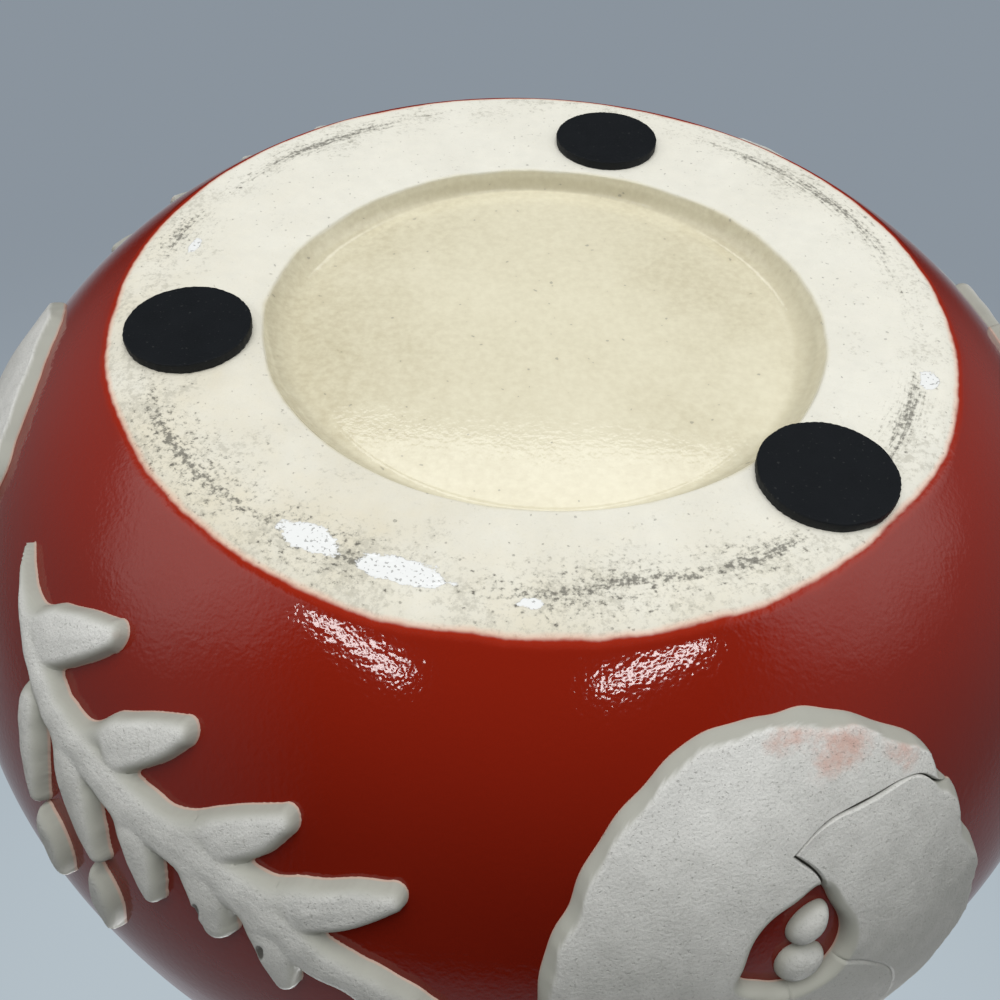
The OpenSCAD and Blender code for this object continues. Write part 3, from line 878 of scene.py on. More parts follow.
def build_petal(motif, k, sheet, relief, material):
    """A petal between two seams: t runs from the opening to the rim and w from seam to seam.

    The top is a low dome with a bevelled, ragged rim, a steep wall at the opening, and a crack at each
    seam where the petal before stands a little higher.
    """
    u = np.linspace(-1, 1, PETAL_COLS[k - 1] + 1)[None, :]
    w = 1.5 * u - 0.5 * u ** 3
    t = (0.5 - 0.5 * np.cos(math.pi * np.linspace(0, 1, PETAL_ROWS + 1)))[:, None]
    first = seam_bearing(PETAL_SEAMS[k - 1], t)
    last = seam_bearing(PETAL_SEAMS[k], t)
    turn = (first + last) / 2 + (last - first) / 2 * w
    bloom_r = relief.bloom_d / 2
    outer = bloom_r + bloom_edge(turn, motif)
    inner = opening_edge(turn)
    radius = inner + (outer - inner) * t
    x = radius * np.cos(np.radians(turn))
    y = radius * np.sin(np.radians(turn))
    rim_in = (1 - t) * (outer - inner)
    mouth_in = t * (outer - inner)
    seam_in = (1 - np.abs(w)) * np.radians((last - first) / 2) * radius
    run = turn / 360 * 2 * math.pi * RIM_RUN
    scallop = np.abs(waves(run, 0 * run, (83.8, 41.9, 27.9, 13.96), 2.0 + motif))
    ragged = waves(run, 0 * run, (7.4, 4.4, 2.6), motif)
    bevel = BEVEL_LEAST + BEVEL_SCALLOP * scallop + BEVEL_RAGGED * ragged
    full = relief.height * (DOME_EDGE + DOME_GAIN * smooth_step(0, DOME_REACH, rim_in))
    slope = np.clip(rim_in / bevel, 0, 1)
    rise = 0.25 * clay_rise(rim_in, full, bevel) + 0.75 * full * slope
    rise = np.minimum(rise, clay_rise(mouth_in, full, MOUTH_SHOULDER))
    flank = 1 - smooth_step(0.72, 1.0, np.minimum(rim_in / bevel, mouth_in / MOUTH_SHOULDER))
    body = smooth_step(0, 0.003, np.minimum(rim_in, mouth_in))
    lump = PETAL_LUMP * waves(x, y, (0.026, 0.017, 0.0105, 0.0068), 1.1 * motif + k)
    sharp = 1.0 - 0.75 * (k != 3) * (w > 0) - 0.75 * (k != 1) * (w < 0)
    over = np.where(w > 0, *SEAM_STEP) * np.exp(-seam_in / SEAM_FADE) * sharp
    crack = CRACK_DEPTH * np.clip(1 - seam_in / CRACK_HALF, 0, 1) ** 1.4 * sharp
    rise = rise + (lump + over) * body - np.minimum(crack, np.maximum(rise, 0))
    values = {
        "rise": rise / MM + 0 * x, "flank": flank + 0 * x,
        "blush": stain(x, y, BLOOM_STAINS[motif - 1]),
        "chip": np.clip(1 - seam_in / CRACK_STAIN, 0, 1) * (sharp > 0.9),
    }
    top = sheet.place(motif, x, y, rise)
    under = sheet.place(motif, x, y, np.full(x.shape, -BURIED))
    used = np.ones((PETAL_ROWS, PETAL_COLS[k - 1]), bool)
    node = f"bloom_{motif}_petal_{k}"
    values = {key: v[:, ::-1] for key, v in values.items()}
    piece = closed_sheet(node + "_clay", top[:, ::-1], under[:, ::-1], used, values, PETAL_CREASE)
    return finish_piece(piece, material, "relief_clay", node)


def build_stamens(motif, sheet, relief, material):
    """The two beads in the opening: egg shapes sunk in the glaze, as latitude and longitude grids."""
    rows, cols = BEAD_GRID
    polar = np.linspace(0, math.pi, rows + 2)[1:-1][:, None]
    turn = np.linspace(0, 2 * math.pi, cols, endpoint=False)[None, :]
    points, faces, rises = [], [], []
    for n, (cx, cy, wide, tall, lean) in enumerate(BEADS):
        a = math.radians(lean)
        egg = 1 + 0.18 * np.sin(polar) * np.cos(turn)
        dx = wide * np.sin(polar) * np.cos(turn)
        dy = tall * np.sin(polar) * np.sin(turn) * egg
        x = (cx + dx * math.cos(a) - dy * math.sin(a)) * MM
        y = (cy + dx * math.sin(a) + dy * math.cos(a)) * MM
        lump = BEAD_LUMP * waves(x, y, (0.006, 0.004, 0.0028), motif + n)
        rise = relief.bead_h * np.cos(polar) + lump * np.sin(polar)
        rise = np.where(rise > 0, rise, rise * BEAD_SUNK)
        base = n * (rows * cols + 2)
        ends = np.array([relief.bead_h, -relief.bead_h * BEAD_SUNK])
        ends = sheet.place(motif, np.full(2, cx) * MM, np.full(2, cy) * MM, ends)
        points += [sheet.place(motif, x, y, rise).reshape(-1, 3), ends]
        faces += [f + base for f in lathe_faces(rows, cols, True)]
        rises += [rise.ravel() / MM, np.array([3.0, -1.0])]
    rises = np.concatenate(rises)
    flank = 1 - smooth_step(0.2, 0.75, rises * MM / relief.bead_h)
    values = {"rise": rises + 0.3, "flank": flank, "blush": 0 * rises, "chip": 0 * rises}
    node = f"bloom_{motif}_stamens"
    piece = make_mesh(node + "_clay", np.concatenate(points), faces, values)
    return finish_piece(piece, material, "relief_clay", node)


# Finishes

class NodeMaker:
    """Adds shader nodes to a tree. An input that is a socket is linked, and any other is set."""

    def __init__(self, tree):
        self.tree = tree

    def add(self, kind, inputs=None, **settings):
        node = self.tree.nodes.new(kind)
        for key, value in settings.items():
            setattr(node, key, value)
        for key, value in (inputs or {}).items():
            self.feed(node.inputs[key], value)
        return node

    def feed(self, socket, value):
        if isinstance(value, bpy.types.NodeSocket):
            self.tree.links.new(value, socket)
        else:
            socket.default_value = value

    def math(self, operation, a, b=0.0, clamp=False):
        node = self.add("ShaderNodeMath", {0: a, 1: b}, operation=operation, use_clamp=clamp)
        return node.outputs[0]

    def times(self, a, b):
        return self.math("MULTIPLY", a, b)

    def plus(self, a, b, clamp=False):
        return self.math("ADD", a, b, clamp)

    def minus(self, a, b):
        return self.math("SUBTRACT", a, b)

    def rest(self, a):
        return self.math("SUBTRACT", 1.0, a)

    def most(self, a, b):
        return self.math("MAXIMUM", a, b)

    def size(self, a):
        return self.math("ABSOLUTE", a)

    def step(self, value, low, high, to_low=0.0, to_high=1.0):
        inputs = {"Value": value, "From Min": low, "From Max": high, "To Min": to_low, "To Max": to_high}
        return self.add("ShaderNodeMapRange", inputs, interpolation_type="SMOOTHSTEP").outputs["Result"]

    def mix(self, share, a, b):
        a, b = (v if isinstance(v, bpy.types.NodeSocket) else (*v, 1.0) for v in (a, b))
        node = self.add("ShaderNodeMix", data_type="RGBA")
        for socket, value in zip((node.inputs[0], node.inputs[6], node.inputs[7]), (share, a, b)):
            self.feed(socket, value)
        return node.outputs[2]

    def blend(self, share, a, b):
        node = self.add("ShaderNodeMix", data_type="FLOAT")
        for socket, value in zip((node.inputs[0], node.inputs[2], node.inputs[3]), (share, a, b)):
            self.feed(socket, value)
        return node.outputs[0]

    def noise(self, vector, scale, detail=2.0, roughness=0.5):
        inputs = {"Vector": vector, "Scale": scale, "Detail": detail, "Roughness": roughness}
        return self.add("ShaderNodeTexNoise", inputs).outputs[0]

    def total(self, first, *others):
        """The sum of values, each times its share."""
        result = self.times(*first)
        for term in others:
            result = self.plus(result, self.times(*term))
        return result

    def layers(self, colour, *coats):
        """A colour under coats, each a mask, a share of it and a tint."""
        for mask, share, paint in coats:
            colour = self.mix(self.times(mask, share), colour, paint)
        return colour

    def sway(self, amount, *noise):
        """Noise about zero, times an amount."""
        return self.times(self.minus(self.noise(*noise), 0.5), amount)

    def group(self, name, **inputs):
        """A placed shader group with its own values."""
        node = self.add("ShaderNodeGroup", node_tree=group_of(name))
        for key, value in inputs.items():
            node.inputs[key].default_value = value
        return node.outputs

    def mottle(self, scale, contrast):
        return self.group("Mottle", Scale=scale, Contrast=contrast)["Value"]

    def grain(self, scale, detail):
        return self.group("Grain", Scale=scale, Detail=detail)["Height"]

    def specks(self, scale, level, softness):
        return self.group("Specks", Scale=scale, Level=level, Softness=softness)

    def attribute(self, name):
        return self.add("ShaderNodeAttribute", attribute_name=name).outputs["Fac"]

    def place(self):
        return self.add("ShaderNodeTexCoord").outputs["Object"]


def new_group(name, inputs, outputs):
    """An empty shader group with float sockets of the given names and defaults."""
    tree = bpy.data.node_groups.new(name, "ShaderNodeTree")
    for key, default in inputs:
        socket = tree.interface.new_socket(name=key, in_out="INPUT", socket_type="NodeSocketFloat")
        socket.default_value = default
    for key in outputs:
        tree.interface.new_socket(name=key, in_out="OUTPUT", socket_type="NodeSocketFloat")
    make = NodeMaker(tree)
    return tree, make, make.add("NodeGroupInput").outputs, make.add("NodeGroupOutput").inputs


def specks_group():
    """Specks: small dark pits of a clay surface, as a mask and a height."""
    tree, make, given, out = new_group(
        "Specks", (("Scale", 900.0), ("Level", 0.66), ("Softness", 0.05)), ("Mask", "Height"))
    grain = make.noise(make.place(), given["Scale"], 1.0)
    mask = make.step(grain, given["Level"], make.plus(given["Level"], given["Softness"]))
    make.feed(out["Mask"], mask)
    make.feed(out["Height"], make.times(mask, -1.0))
    return tree


def mottle_group():
    """Mottle: broad soft changes of tone, from 0 to 1."""
    tree, make, given, out = new_group("Mottle", (("Scale", 30.0), ("Contrast", 2.0)), ("Value",))
    cloud = make.noise(make.place(), given["Scale"], 4.0, 0.6)
    centred = make.times(make.minus(cloud, 0.5), given["Contrast"])
    make.feed(out["Value"], make.plus(centred, 0.5, clamp=True))
    return tree


def grain_group():
    """Grain: fine even roughness of fired clay or glaze, as a height about 0."""
    tree, make, given, out = new_group("Grain", (("Scale", 600.0), ("Detail", 3.0)), ("Height",))
    fine = make.noise(make.place(), given["Scale"], given["Detail"], 0.6)
    make.feed(out["Height"], make.minus(fine, 0.5))
    return tree


def group_of(name):
    """A shared shader group, made the first time that it is asked for."""
    makers = {"Specks": specks_group, "Mottle": mottle_group, "Grain": grain_group}
    return bpy.data.node_groups.get(name) or makers[name]()


def new_material(name):
    """An empty node material with its output and Principled shader."""
    material = bpy.data.materials.get(name)
    if material is not None:
        return material, None, None
    material = bpy.data.materials.new(name)
    material.use_nodes = True
    material.node_tree.nodes.clear()
    make = NodeMaker(material.node_tree)
    shader = make.add("ShaderNodeBsdfPrincipled")
    out = make.add("ShaderNodeOutputMaterial")
    material.node_tree.links.new(shader.outputs[0], out.inputs["Surface"])
    return material, make, shader


def dress(make, shader, colour, rough, height):
    """Feeds a finish to its shader: colour, roughness, and a height in millimetres as bump."""
    bump = make.add("ShaderNodeBump", {"Height": height, "Strength": 1.0, "Distance": MM})
    for key, value in (("Base Color", colour), ("Roughness", rough), ("Normal", bump.outputs[0])):
        make.feed(shader.inputs[key], value)


def pot_finish(tints):
    """Red glaze, bare clay foot with scuffs and drips, and clear glaze in the recess and inside. Painted
    shade darkens the front right of the foot, the small bumps of its clay and the recess wall.
    """
    material, make, shader = new_material("pot_finish")
    if make is None:
        return material
    place = make.place()
    edge_wave = make.sway(3.0, place, 42.0, 2.0)
    edge_fine = make.sway(0.7, place, 360.0, 2.0)
    reach = make.plus(make.attribute("red_reach"), make.plus(edge_wave, edge_fine))
    red_mask = make.step(reach, -0.45, 0.45)
    fringe = make.times(make.step(reach, -1.3, 0.0), make.rest(make.step(reach, 0.0, 0.9)))
    thin = make.rest(make.step(reach, 0.0, 2.2))
    cloud = make.mottle(24.0, 1.5)
    pooled = make.step(make.plus(reach, make.times(cloud, 12.0)), 6.0, 56.0)
    flat = make.add("ShaderNodeSeparateXYZ", {0: place}).outputs
    red = make.mix(pooled, tints.red, tints.red_deep)
    red = make.mix(make.step(flat[2], 0.066, 0.120), red, tints.red_high)
    red = make.layers(red, (cloud, 0.16, tints.red_thin), (thin, 0.75, tints.red_thin))

    worn = make.attribute("worn")
    level = make.add("ShaderNodeCombineXYZ", {0: flat[0], 1: flat[1]}).outputs[0]
    round_r = make.add("ShaderNodeVectorMath", {0: level}, operation="LENGTH").outputs["Value"]
    ring = make.add("ShaderNodeVectorMath", {0: level}, operation="NORMALIZE").outputs[0]
    # Painted shade: the front right of the foot, toward +X and -Y, is darker and yellower; a little random
    # tone lies over the rest.
    aslant = make.minus(make.times(flat[0], 0.75), flat[1])
    foot_front_right = make.step(aslant, -0.02, 0.11)
    tone_and_painted_shade = make.times(make.plus(make.times(foot_front_right, 0.55), 0.16), make.plus(make.mottle(40.0, 2.6), 0.35))
    clay = make.mix(tone_and_painted_shade, tints.clay, tints.clay_tone_and_shade)
    # Grey patches of the clay, and a fine mottle that paints the shade of small bumps in it
    patch = make.mottle(75.0, 2.8)
    bump_shade_mottle = make.mottle(330.0, 2.4)
    grey = make.total((patch, 0.22), (bump_shade_mottle, 0.26))
    clay = make.mix(grey, clay, tints.clay_grey_and_shade)
    outward = make.step(round_r, 0.060, 0.083)
    dirt_bias = make.total((patch, 0.24), (outward, 0.13), (foot_front_right, 0.06))
    dirt = make.step(make.plus(make.noise(place, 760.0, 4.0, 0.75), dirt_bias), 0.76, 0.95)
    clay = make.mix(make.times(dirt, 0.42), clay, tints.grime)
    along = make.add("ShaderNodeVectorMath", {0: ring, "Scale": 11.0}, operation="SCALE").outputs[0]
    across = make.add("ShaderNodeCombineXYZ", {2: make.times(round_r, 1500.0)}).outputs[0]
    streak_at = make.add("ShaderNodeVectorMath", {0: along, 1: across}, operation="ADD").outputs[0]
    streak = make.noise(streak_at, 1.0, 5.0, 0.72)
    rub = make.noise(place, 900.0, 3.0, 0.7)
    mark = make.blend(make.step(foot_front_right, 0.0, 1.0, 0.52, 0.20), rub, streak)
    drift = make.sway(0.010, ring, 1.6, 2.0)
    off_ring = make.size(make.minus(make.minus(round_r, 0.0786), drift))
    line = make.rest(make.step(off_ring, 0.0004, 0.0030))
    spread = make.plus(0.009, make.times(foot_front_right, 0.007))
    smudge = make.times(make.rest(make.step(off_ring, 0.001, spread)), 0.72)
    sector = make.plus(make.times(worn, 0.85), 0.15)
    wear = make.times(make.most(line, smudge), sector)
    scuff_level = make.blend(wear, 0.71, 0.44)
    scuff = make.step(mark, scuff_level, make.plus(scuff_level, 0.11))
    halo = make.step(mark, make.minus(scuff_level, 0.07), make.plus(scuff_level, 0.04))
    fine = make.specks(2300.0, 0.60, 0.12)
    pits = make.specks(900.0, 0.73, 0.03)
    clay = make.layers(
        clay, (fine["Mask"], 0.16, tints.clear_deep_and_shade), (pits["Mask"], 0.40, tints.pit),
        (halo, 0.30, tints.grime), (scuff, 0.74, tints.scuff), (fringe, 0.60, tints.fringe),
    )

    drip_edge = make.sway(0.9, place, 420.0, 4.0, 0.7)
    drip = make.step(make.plus(make.attribute("drip"), drip_edge), 0.44, 0.52)
    crumbs = make.specks(1500.0, 0.62, 0.04)
    clay = make.mix(drip, clay, make.mix(make.times(crumbs["Mask"], 0.5), tints.drip, tints.scuff))

    recess_wave = make.sway(3.2, place, 60.0, 3.0)
    recess_reach = make.plus(make.attribute("recess_reach"), recess_wave)
    clear_mask = make.most(make.step(recess_reach, -0.7, 0.9), make.attribute("inside"))
    deep = make.mottle(30.0, 2.6)
    even_reach = make.attribute("recess_reach")
    # Painted shade: the recess wall is darkened toward the deep clear glaze colour
    wall = make.times(make.step(even_reach, 0.5, 3.0), make.rest(make.step(even_reach, 6.0, 8.5)))
    sides = make.step(make.size(flat[0]), 0.008, 0.040)
    tan = make.times(deep, make.plus(make.times(sides, 0.55), 0.25))
    clear = make.mix(make.most(tan, make.times(wall, 0.70)), tints.clear, tints.clear_deep_and_shade)
    crumb = make.mottle(620.0, 3.2)
    crumb_share = make.plus(0.10, make.times(tan, 0.24))
    clear = make.mix(make.times(crumb, crumb_share), clear, tints.clear_brown)
    flecks = make.specks(620.0, 0.765, 0.02)
    clear = make.mix(make.times(flecks["Mask"], 0.45), clear, tints.pit)

    ground = make.mix(clear_mask, clay, clear)
    colour = make.mix(red_mask, ground, red)
    ground_rough = make.blend(clear_mask, make.blend(drip, 0.82, 0.12), 0.045)
    rough = make.blend(red_mask, ground_rough, 0.065)

    peel = make.grain(950.0, 1.0)
    ripple = make.grain(110.0, 1.0)
    coarse = make.grain(1300.0, 4.0)
    glaze_height = make.total((peel, 0.042), (ripple, 0.034))
    clay_height = make.total((coarse, 0.09), (pits["Height"], 0.10))
    clay_height = make.blend(drip, clay_height, make.plus(make.times(peel, 0.05), 0.10))
    clear_height = make.total((peel, 0.020), (ripple, 0.016))
    ground_height = make.blend(clear_mask, clay_height, clear_height)
    layer = make.times(make.step(reach, -0.4, 1.6), 0.22)
    red_height = make.plus(glaze_height, layer)
    height = make.blend(red_mask, ground_height, red_height)
    dress(make, shader, colour, rough, height)
    shader.inputs["IOR"].default_value = 1.5
    return material


def relief_finish(tints):
    """White clay slip: matte and pitted on top, greyer and smoother on its flanks, pink where stained, and
    greyed higher up the pot by painted shade.
    """
    material, make, shader = new_material("relief_clay_finish")
    if make is None:
        return material
    rise = make.attribute("rise")
    tone = make.mottle(70.0, 2.0)
    # Painted shade: the relief turns greyer with height up the pot
    height = make.add("ShaderNodeSeparateXYZ", {0: make.place()}).outputs[2]
    shade_higher_up = make.times(make.step(height, 0.008, 0.056), 0.78)
    blotch = make.mottle(300.0, 2.6)
    cloudy = make.total((tone, 0.30), (blotch, 0.16))
    shade = make.plus(cloudy, shade_higher_up, clamp=True)
    colour = make.mix(shade, tints.slip, tints.slip_grey_and_shade)
    pits = make.specks(2000.0, 0.64, 0.10)
    fine = make.specks(3300.0, 0.54, 0.16)
    stain_edge = make.noise(make.place(), 210.0, 4.0, 0.7)
    blush = make.step(make.times(make.attribute("blush"), stain_edge), 0.26, 0.62)
    colour = make.mix(make.times(blush, 0.75), colour, tints.blush)
    flank = make.attribute("flank")
    colour = make.mix(make.times(flank, 0.9), colour, tints.flank)
    dark = make.most(make.times(pits["Mask"], 0.34), make.times(fine["Mask"], 0.20))
    colour = make.mix(make.times(dark, make.rest(flank)), colour, tints.pit)
    colour = make.mix(make.step(make.attribute("chip"), 0.30, 0.55), colour, tints.scuff)
    foot = make.rest(make.step(rise, 0.0, 0.4))
    colour = make.mix(make.times(foot, 0.4), colour, tints.fringe)
    rough = make.blend(flank, 0.60, 0.48)
    shader.inputs["Specular IOR Level"].default_value = 0.3
    grain = make.grain(1700.0, 3.0)
    trowel = make.grain(190.0, 2.0)
    rub = make.total((grain, 0.18), (pits["Height"], 0.05))
    height = make.total((rub, make.rest(flank)), (trowel, 0.08))
    dress(make, shader, colour, rough, height)
    return material


def pad_finish(tints):
    """Matte black rubber with a fine grain and a little dust."""
    material, make, shader = new_material("pad_rubber_finish")
    if make is None:
        return material
    dust = make.mottle(160.0, 2.0)
    colour = make.mix(make.times(dust, 0.25), tints.pad, tuple(1.8 * v for v in tints.pad))
    lint = make.specks(1300.0, 0.70, 0.04)
    colour = make.mix(make.times(lint["Mask"], 0.05), colour, tints.slip_grey_and_shade)
    rough = make.step(dust, 0.0, 1.0, 0.55, 0.70)
    shader.inputs["Specular IOR Level"].default_value = 0.2
    dress(make, shader, colour, rough, make.times(make.grain(2200.0, 2.0), 0.05))
    return material


# Stage

CAMERA_AT = (0.0055467, -0.1738996, -0.1261941)
CAMERA_ELEVATION = 48.07334
CAMERA_ROLL = 1.894465
CAMERA_LENS = 36.539
LAMPS_LOOK_AT = (0.0, 0.0, 0.06)
# Bearing, elevation, distance, width, height and power of each lamp, and whether gloss mirrors it
LOW_LAMPS = (
    (-48.0, -49.0, 1.2, 0.40, 0.05, 1.1, True), (-124.0, -50.0, 1.2, 0.38, 0.045, 1.0, True),
    (93.0, -50.4, 1.3, 0.60, 0.13, 0.6, True), (-90.0, -88.0, 1.1, 0.8, 0.8, 7.6, False),
)
HIGH_LAMPS = (
    (-90.0, 75.0, 1.5, 0.9, 0.9, 15.0, True), (-125.0, 66.0, 1.7, 0.6, 1.0, 12.0, True),
    (-35.0, 70.0, 1.7, 0.6, 0.8, 9.0, False), (75.0, 62.0, 1.8, 1.0, 0.6, 13.0, True),
    (170.0, 62.0, 1.7, 0.6, 0.8, 10.0, False),
)
WALL = (0.255, 0.295, 0.340)
HIGH_WALL = (0.46, 0.53, 0.58)
DARK_ROOM = (0.015, 0.015, 0.016)
ROOM_SIDES = (0.24, 0.24, 0.25)
CEILING = (0.33, 0.35, 0.38)
FILL_BELOW = (0.215, 0.225, 0.225)
FILL_ABOVE = (0.095, 0.10, 0.105)
FLOOR_TINT = (0.25, 0.26, 0.27)
FLOOR_HALF = 3.0
FLOOR_Z = -0.0004
# Bearing, elevation, inner and outer half angle, and brightness of each glow
GLOWS = ((-1.0, -38.0, 5.0, 27.0, 1.25), (175.0, -40.0, 5.0, 29.0, 1.2))


def stand(thing, x, y, z, at):
    """Turns and moves a camera or lamp, by its three axes and its place."""
    axes = np.eye(4)
    axes[:3] = np.stack([x, y, z, at], -1)
    thing.matrix_world = Matrix(axes.tolist())


def facing_out(bearing, elevation):
    """Unit direction out from the pot at a bearing and elevation in degrees."""
    a, e = math.radians(bearing), math.radians(elevation)
    return np.array([math.cos(e) * math.cos(a), math.cos(e) * math.sin(a), math.sin(e)])


def add_camera():
    """The camera below the foot, looking up at it, with its picture upside down against the part."""
    e, roll = math.radians(CAMERA_ELEVATION), math.radians(CAMERA_ROLL)
    right = np.array([-1.0, 0.0, 0.0])
    down = np.array([0.0, -math.sin(e), math.cos(e)])
    ahead = np.array([0.0, math.cos(e), math.sin(e)])
    x = math.cos(roll) * right - math.sin(roll) * down
    y = -(math.sin(roll) * right + math.cos(roll) * down)
    data = bpy.data.cameras.new("camera")
    data.lens = CAMERA_LENS
    data.sensor_width = 36.0
    data.sensor_fit = "HORIZONTAL"
    data.clip_start = 0.01
    camera = put("camera", data)
    stand(camera, x, y, -ahead, CAMERA_AT)
    bpy.context.scene.camera = camera


def add_lamp(name, bearing, elevation, distance, wide, tall, power, mirrored):
    """A soft area lamp that looks at the middle of the pot. Glossy surfaces may mirror it or not."""
    a = math.radians(bearing)
    out = facing_out(bearing, elevation)
    side = np.array([-math.sin(a), math.cos(a), 0.0])
    data = bpy.data.lights.new(name, "AREA")
    data.shape = "RECTANGLE"
    data.size = wide
    data.size_y = tall
    data.energy = power
    lamp = put(name, data)
    stand(lamp, side, np.cross(out, side), out, np.array(LAMPS_LOOK_AT) + distance * out)
    lamp.visible_glossy = mirrored


def add_world():
    """A plain room: the camera sees a grey-blue wall that pales higher up.

    Gloss mirrors a dark room with paler sides, a bright ceiling and two soft glows low down. A dim fill,
    stronger from below, does the rest.
    """
    world = bpy.data.worlds.new("room")
    bpy.context.scene.world = world
    world.use_nodes = True
    tree = world.node_tree
    tree.nodes.clear()
    make = NodeMaker(tree)
    look = make.add("ShaderNodeTexCoord").outputs["Generated"]
    toward = make.add("ShaderNodeSeparateXYZ", {0: look}).outputs
    up = toward[2]
    wall = make.mix(make.step(up, 0.50, 0.95), WALL, HIGH_WALL)
    aside = make.step(make.size(toward[0]), 0.50, 0.90)
    mirrored = make.mix(aside, DARK_ROOM, ROOM_SIDES)
    mirrored = make.mix(make.step(up, 0.20, 0.50), mirrored, CEILING)
    fill = make.mix(make.step(up, -0.30, 0.30), FILL_BELOW, FILL_ABOVE)
    ragged = make.sway(0.08, look, 5.0, 3.0)
    for bearing, elevation, inner, outer, bright in GLOWS:
        aim = tuple(facing_out(bearing, elevation))
        facing = make.add("ShaderNodeVectorMath", {0: look, 1: aim}, operation="DOT_PRODUCT").outputs["Value"]
        edges = math.cos(math.radians(outer)), math.cos(math.radians(inner))
        glow = make.step(make.plus(facing, ragged), *edges)
        mirrored = make.mix(glow, mirrored, (bright, bright, bright))
        fill = make.mix(glow, fill, (bright, bright, bright))
    path = make.add("ShaderNodeLightPath").outputs
    gloss = make.most(path["Is Glossy Ray"], path["Is Transmission Ray"])
    light = make.mix(path["Is Camera Ray"], make.mix(gloss, fill, mirrored), wall)
    shown = make.add("ShaderNodeBackground", {"Color": light, "Strength": 1.0})
    out = make.add("ShaderNodeOutputWorld")
    tree.links.new(shown.outputs[0], out.inputs["Surface"])


def add_floor():
    """A plain floor under the pads that is seen from above only and fades into the wall."""
    ways = ((-1, -1), (1, -1), (1, 1), (-1, 1))
    corners = np.array([(a * FLOOR_HALF, b * FLOOR_HALF, FLOOR_Z) for a, b in ways])
    floor = make_mesh("floor", corners, [np.array([[0, 1, 2, 3]])])
    material, make, shader = new_material("floor_finish")
    shader.inputs["Base Color"].default_value = (*FLOOR_TINT, 1.0)
    shader.inputs["Roughness"].default_value = 0.8
    distance = make.add("ShaderNodeVectorMath", {0: make.place()}, operation="LENGTH").outputs["Value"]
    wall = make.add("ShaderNodeEmission", {"Color": (*WALL, 1.0)})
    away = make.step(distance, 0.25, 1.6)
    seen = make.add("ShaderNodeMixShader", {0: away, 1: shader.outputs[0], 2: wall.outputs[0]})
    behind = make.add("ShaderNodeNewGeometry").outputs["Backfacing"]
    clear = make.add("ShaderNodeBsdfTransparent")
    both = make.add("ShaderNodeMixShader", {0: behind, 1: seen.outputs[0], 2: clear.outputs[0]})
    out = next(n for n in material.node_tree.nodes if n.type == "OUTPUT_MATERIAL")
    material.node_tree.links.new(both.outputs[0], out.inputs["Surface"])
    floor.data.materials.append(material)
    floor.visible_shadow = False
    floor.visible_glossy = False
    floor.visible_diffuse = False


# Operators and panel

class PLANTER_OT_pot(bpy.types.Operator):
    """Builds the glazed pot"""

    bl_idname = "planter.pot"
    bl_label = "Pot"

    def execute(self, context):
        scene = context.scene
        sheet = PlanterSheet(scene.planter_pot, scene.planter_relief)
        piece = build_pot(scene.planter_pot, sheet)
        finish_piece(piece, pot_finish(scene.planter_finish), "red_glaze", "pot_body")
        return {"FINISHED"}


class PLANTER_OT_pads(bpy.types.Operator):
    """Builds the three stick-on foot pads"""

    bl_idname = "planter.pads"
    bl_label = "Foot pads"

    def execute(self, context):
        scene = context.scene
        for node in PAD_NODES:
            finish_piece(build_pad(node), pad_finish(scene.planter_finish), "foot_pad", node)
        return {"FINISHED"}


class PLANTER_OT_sprigs(bpy.types.Operator):
    """Builds the leafy sprigs and the loose leaves"""

    bl_idname = "planter.sprigs"
    bl_label = "Sprigs"

    def execute(self, context):
        scene = context.scene
        relief = scene.planter_relief
        sheet = PlanterSheet(scene.planter_pot, relief)
        plan = SprigPlan(relief)
        material = relief_finish(scene.planter_finish)
        for motif in MOTIFS:
            build_sprig(motif, sheet, relief, plan, material)
        build_loose(sheet, relief, plan, material)
        return {"FINISHED"}


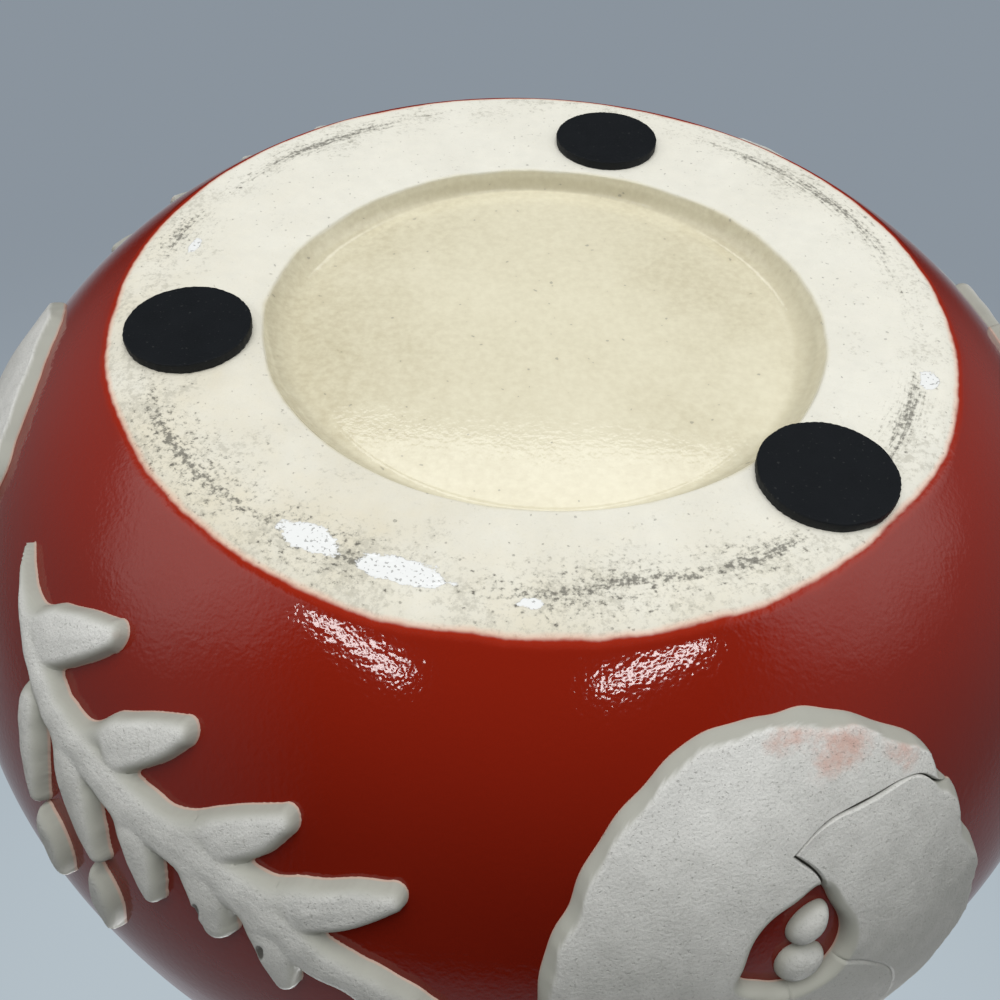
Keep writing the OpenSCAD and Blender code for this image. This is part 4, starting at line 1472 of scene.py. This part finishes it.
class PLANTER_OT_blooms(bpy.types.Operator):
    """Builds the blooms: petals and stamen beads"""

    bl_idname = "planter.blooms"
    bl_label = "Blooms"

    def execute(self, context):
        scene = context.scene
        relief = scene.planter_relief
        sheet = PlanterSheet(scene.planter_pot, relief)
        material = relief_finish(scene.planter_finish)
        for motif in MOTIFS:
            for k in (1, 2, 3):
                build_petal(motif, k, sheet, relief, material)
            build_stamens(motif, sheet, relief, material)
        return {"FINISHED"}


class PLANTER_OT_stage(bpy.types.Operator):
    """Sets up the camera, the lamps, the room and the floor"""

    bl_idname = "planter.stage"
    bl_label = "Stage"

    def execute(self, context):
        context.scene.view_settings.view_transform = "Standard"
        add_camera()
        for row, lamps in (("low", LOW_LAMPS), ("high", HIGH_LAMPS)):
            for k, lamp in enumerate(lamps):
                add_lamp(f"{row}_lamp_{k + 1}", *lamp)
        add_world()
        add_floor()
        return {"FINISHED"}


class PLANTER_PT_panel(bpy.types.Panel):
    """Lists the planter's steps and sizes"""

    bl_idname = "PLANTER_PT_panel"
    bl_label = "Planter"
    bl_space_type = "VIEW_3D"
    bl_region_type = "UI"
    bl_category = "Planter"

    def draw(self, context):
        for step in STEPS:
            self.layout.operator(step.bl_idname)
        for group in ("planter_pot", "planter_relief", "planter_finish"):
            values = getattr(context.scene, group)
            box = self.layout.box()
            for key in values.__annotations__:
                box.prop(values, key)


STEPS = (PLANTER_OT_pot, PLANTER_OT_pads, PLANTER_OT_sprigs, PLANTER_OT_blooms, PLANTER_OT_stage)
CLASSES = (PlanterPot, PlanterRelief, PlanterFinish) + STEPS + (PLANTER_PT_panel,)


def register():
    for cls in CLASSES:
        bpy.utils.register_class(cls)
    bpy.types.Scene.planter_pot = bpy.props.PointerProperty(type=PlanterPot)
    bpy.types.Scene.planter_relief = bpy.props.PointerProperty(type=PlanterRelief)
    bpy.types.Scene.planter_finish = bpy.props.PointerProperty(type=PlanterFinish)


def unregister():
    del bpy.types.Scene.planter_finish
    del bpy.types.Scene.planter_relief
    del bpy.types.Scene.planter_pot
    for cls in reversed(CLASSES):
        bpy.utils.unregister_class(cls)


def main():
    register()
    bpy.ops.planter.pot()
    bpy.ops.planter.pads()
    bpy.ops.planter.sprigs()
    bpy.ops.planter.blooms()
    bpy.ops.planter.stage()


if __name__ == "__main__":
    main()
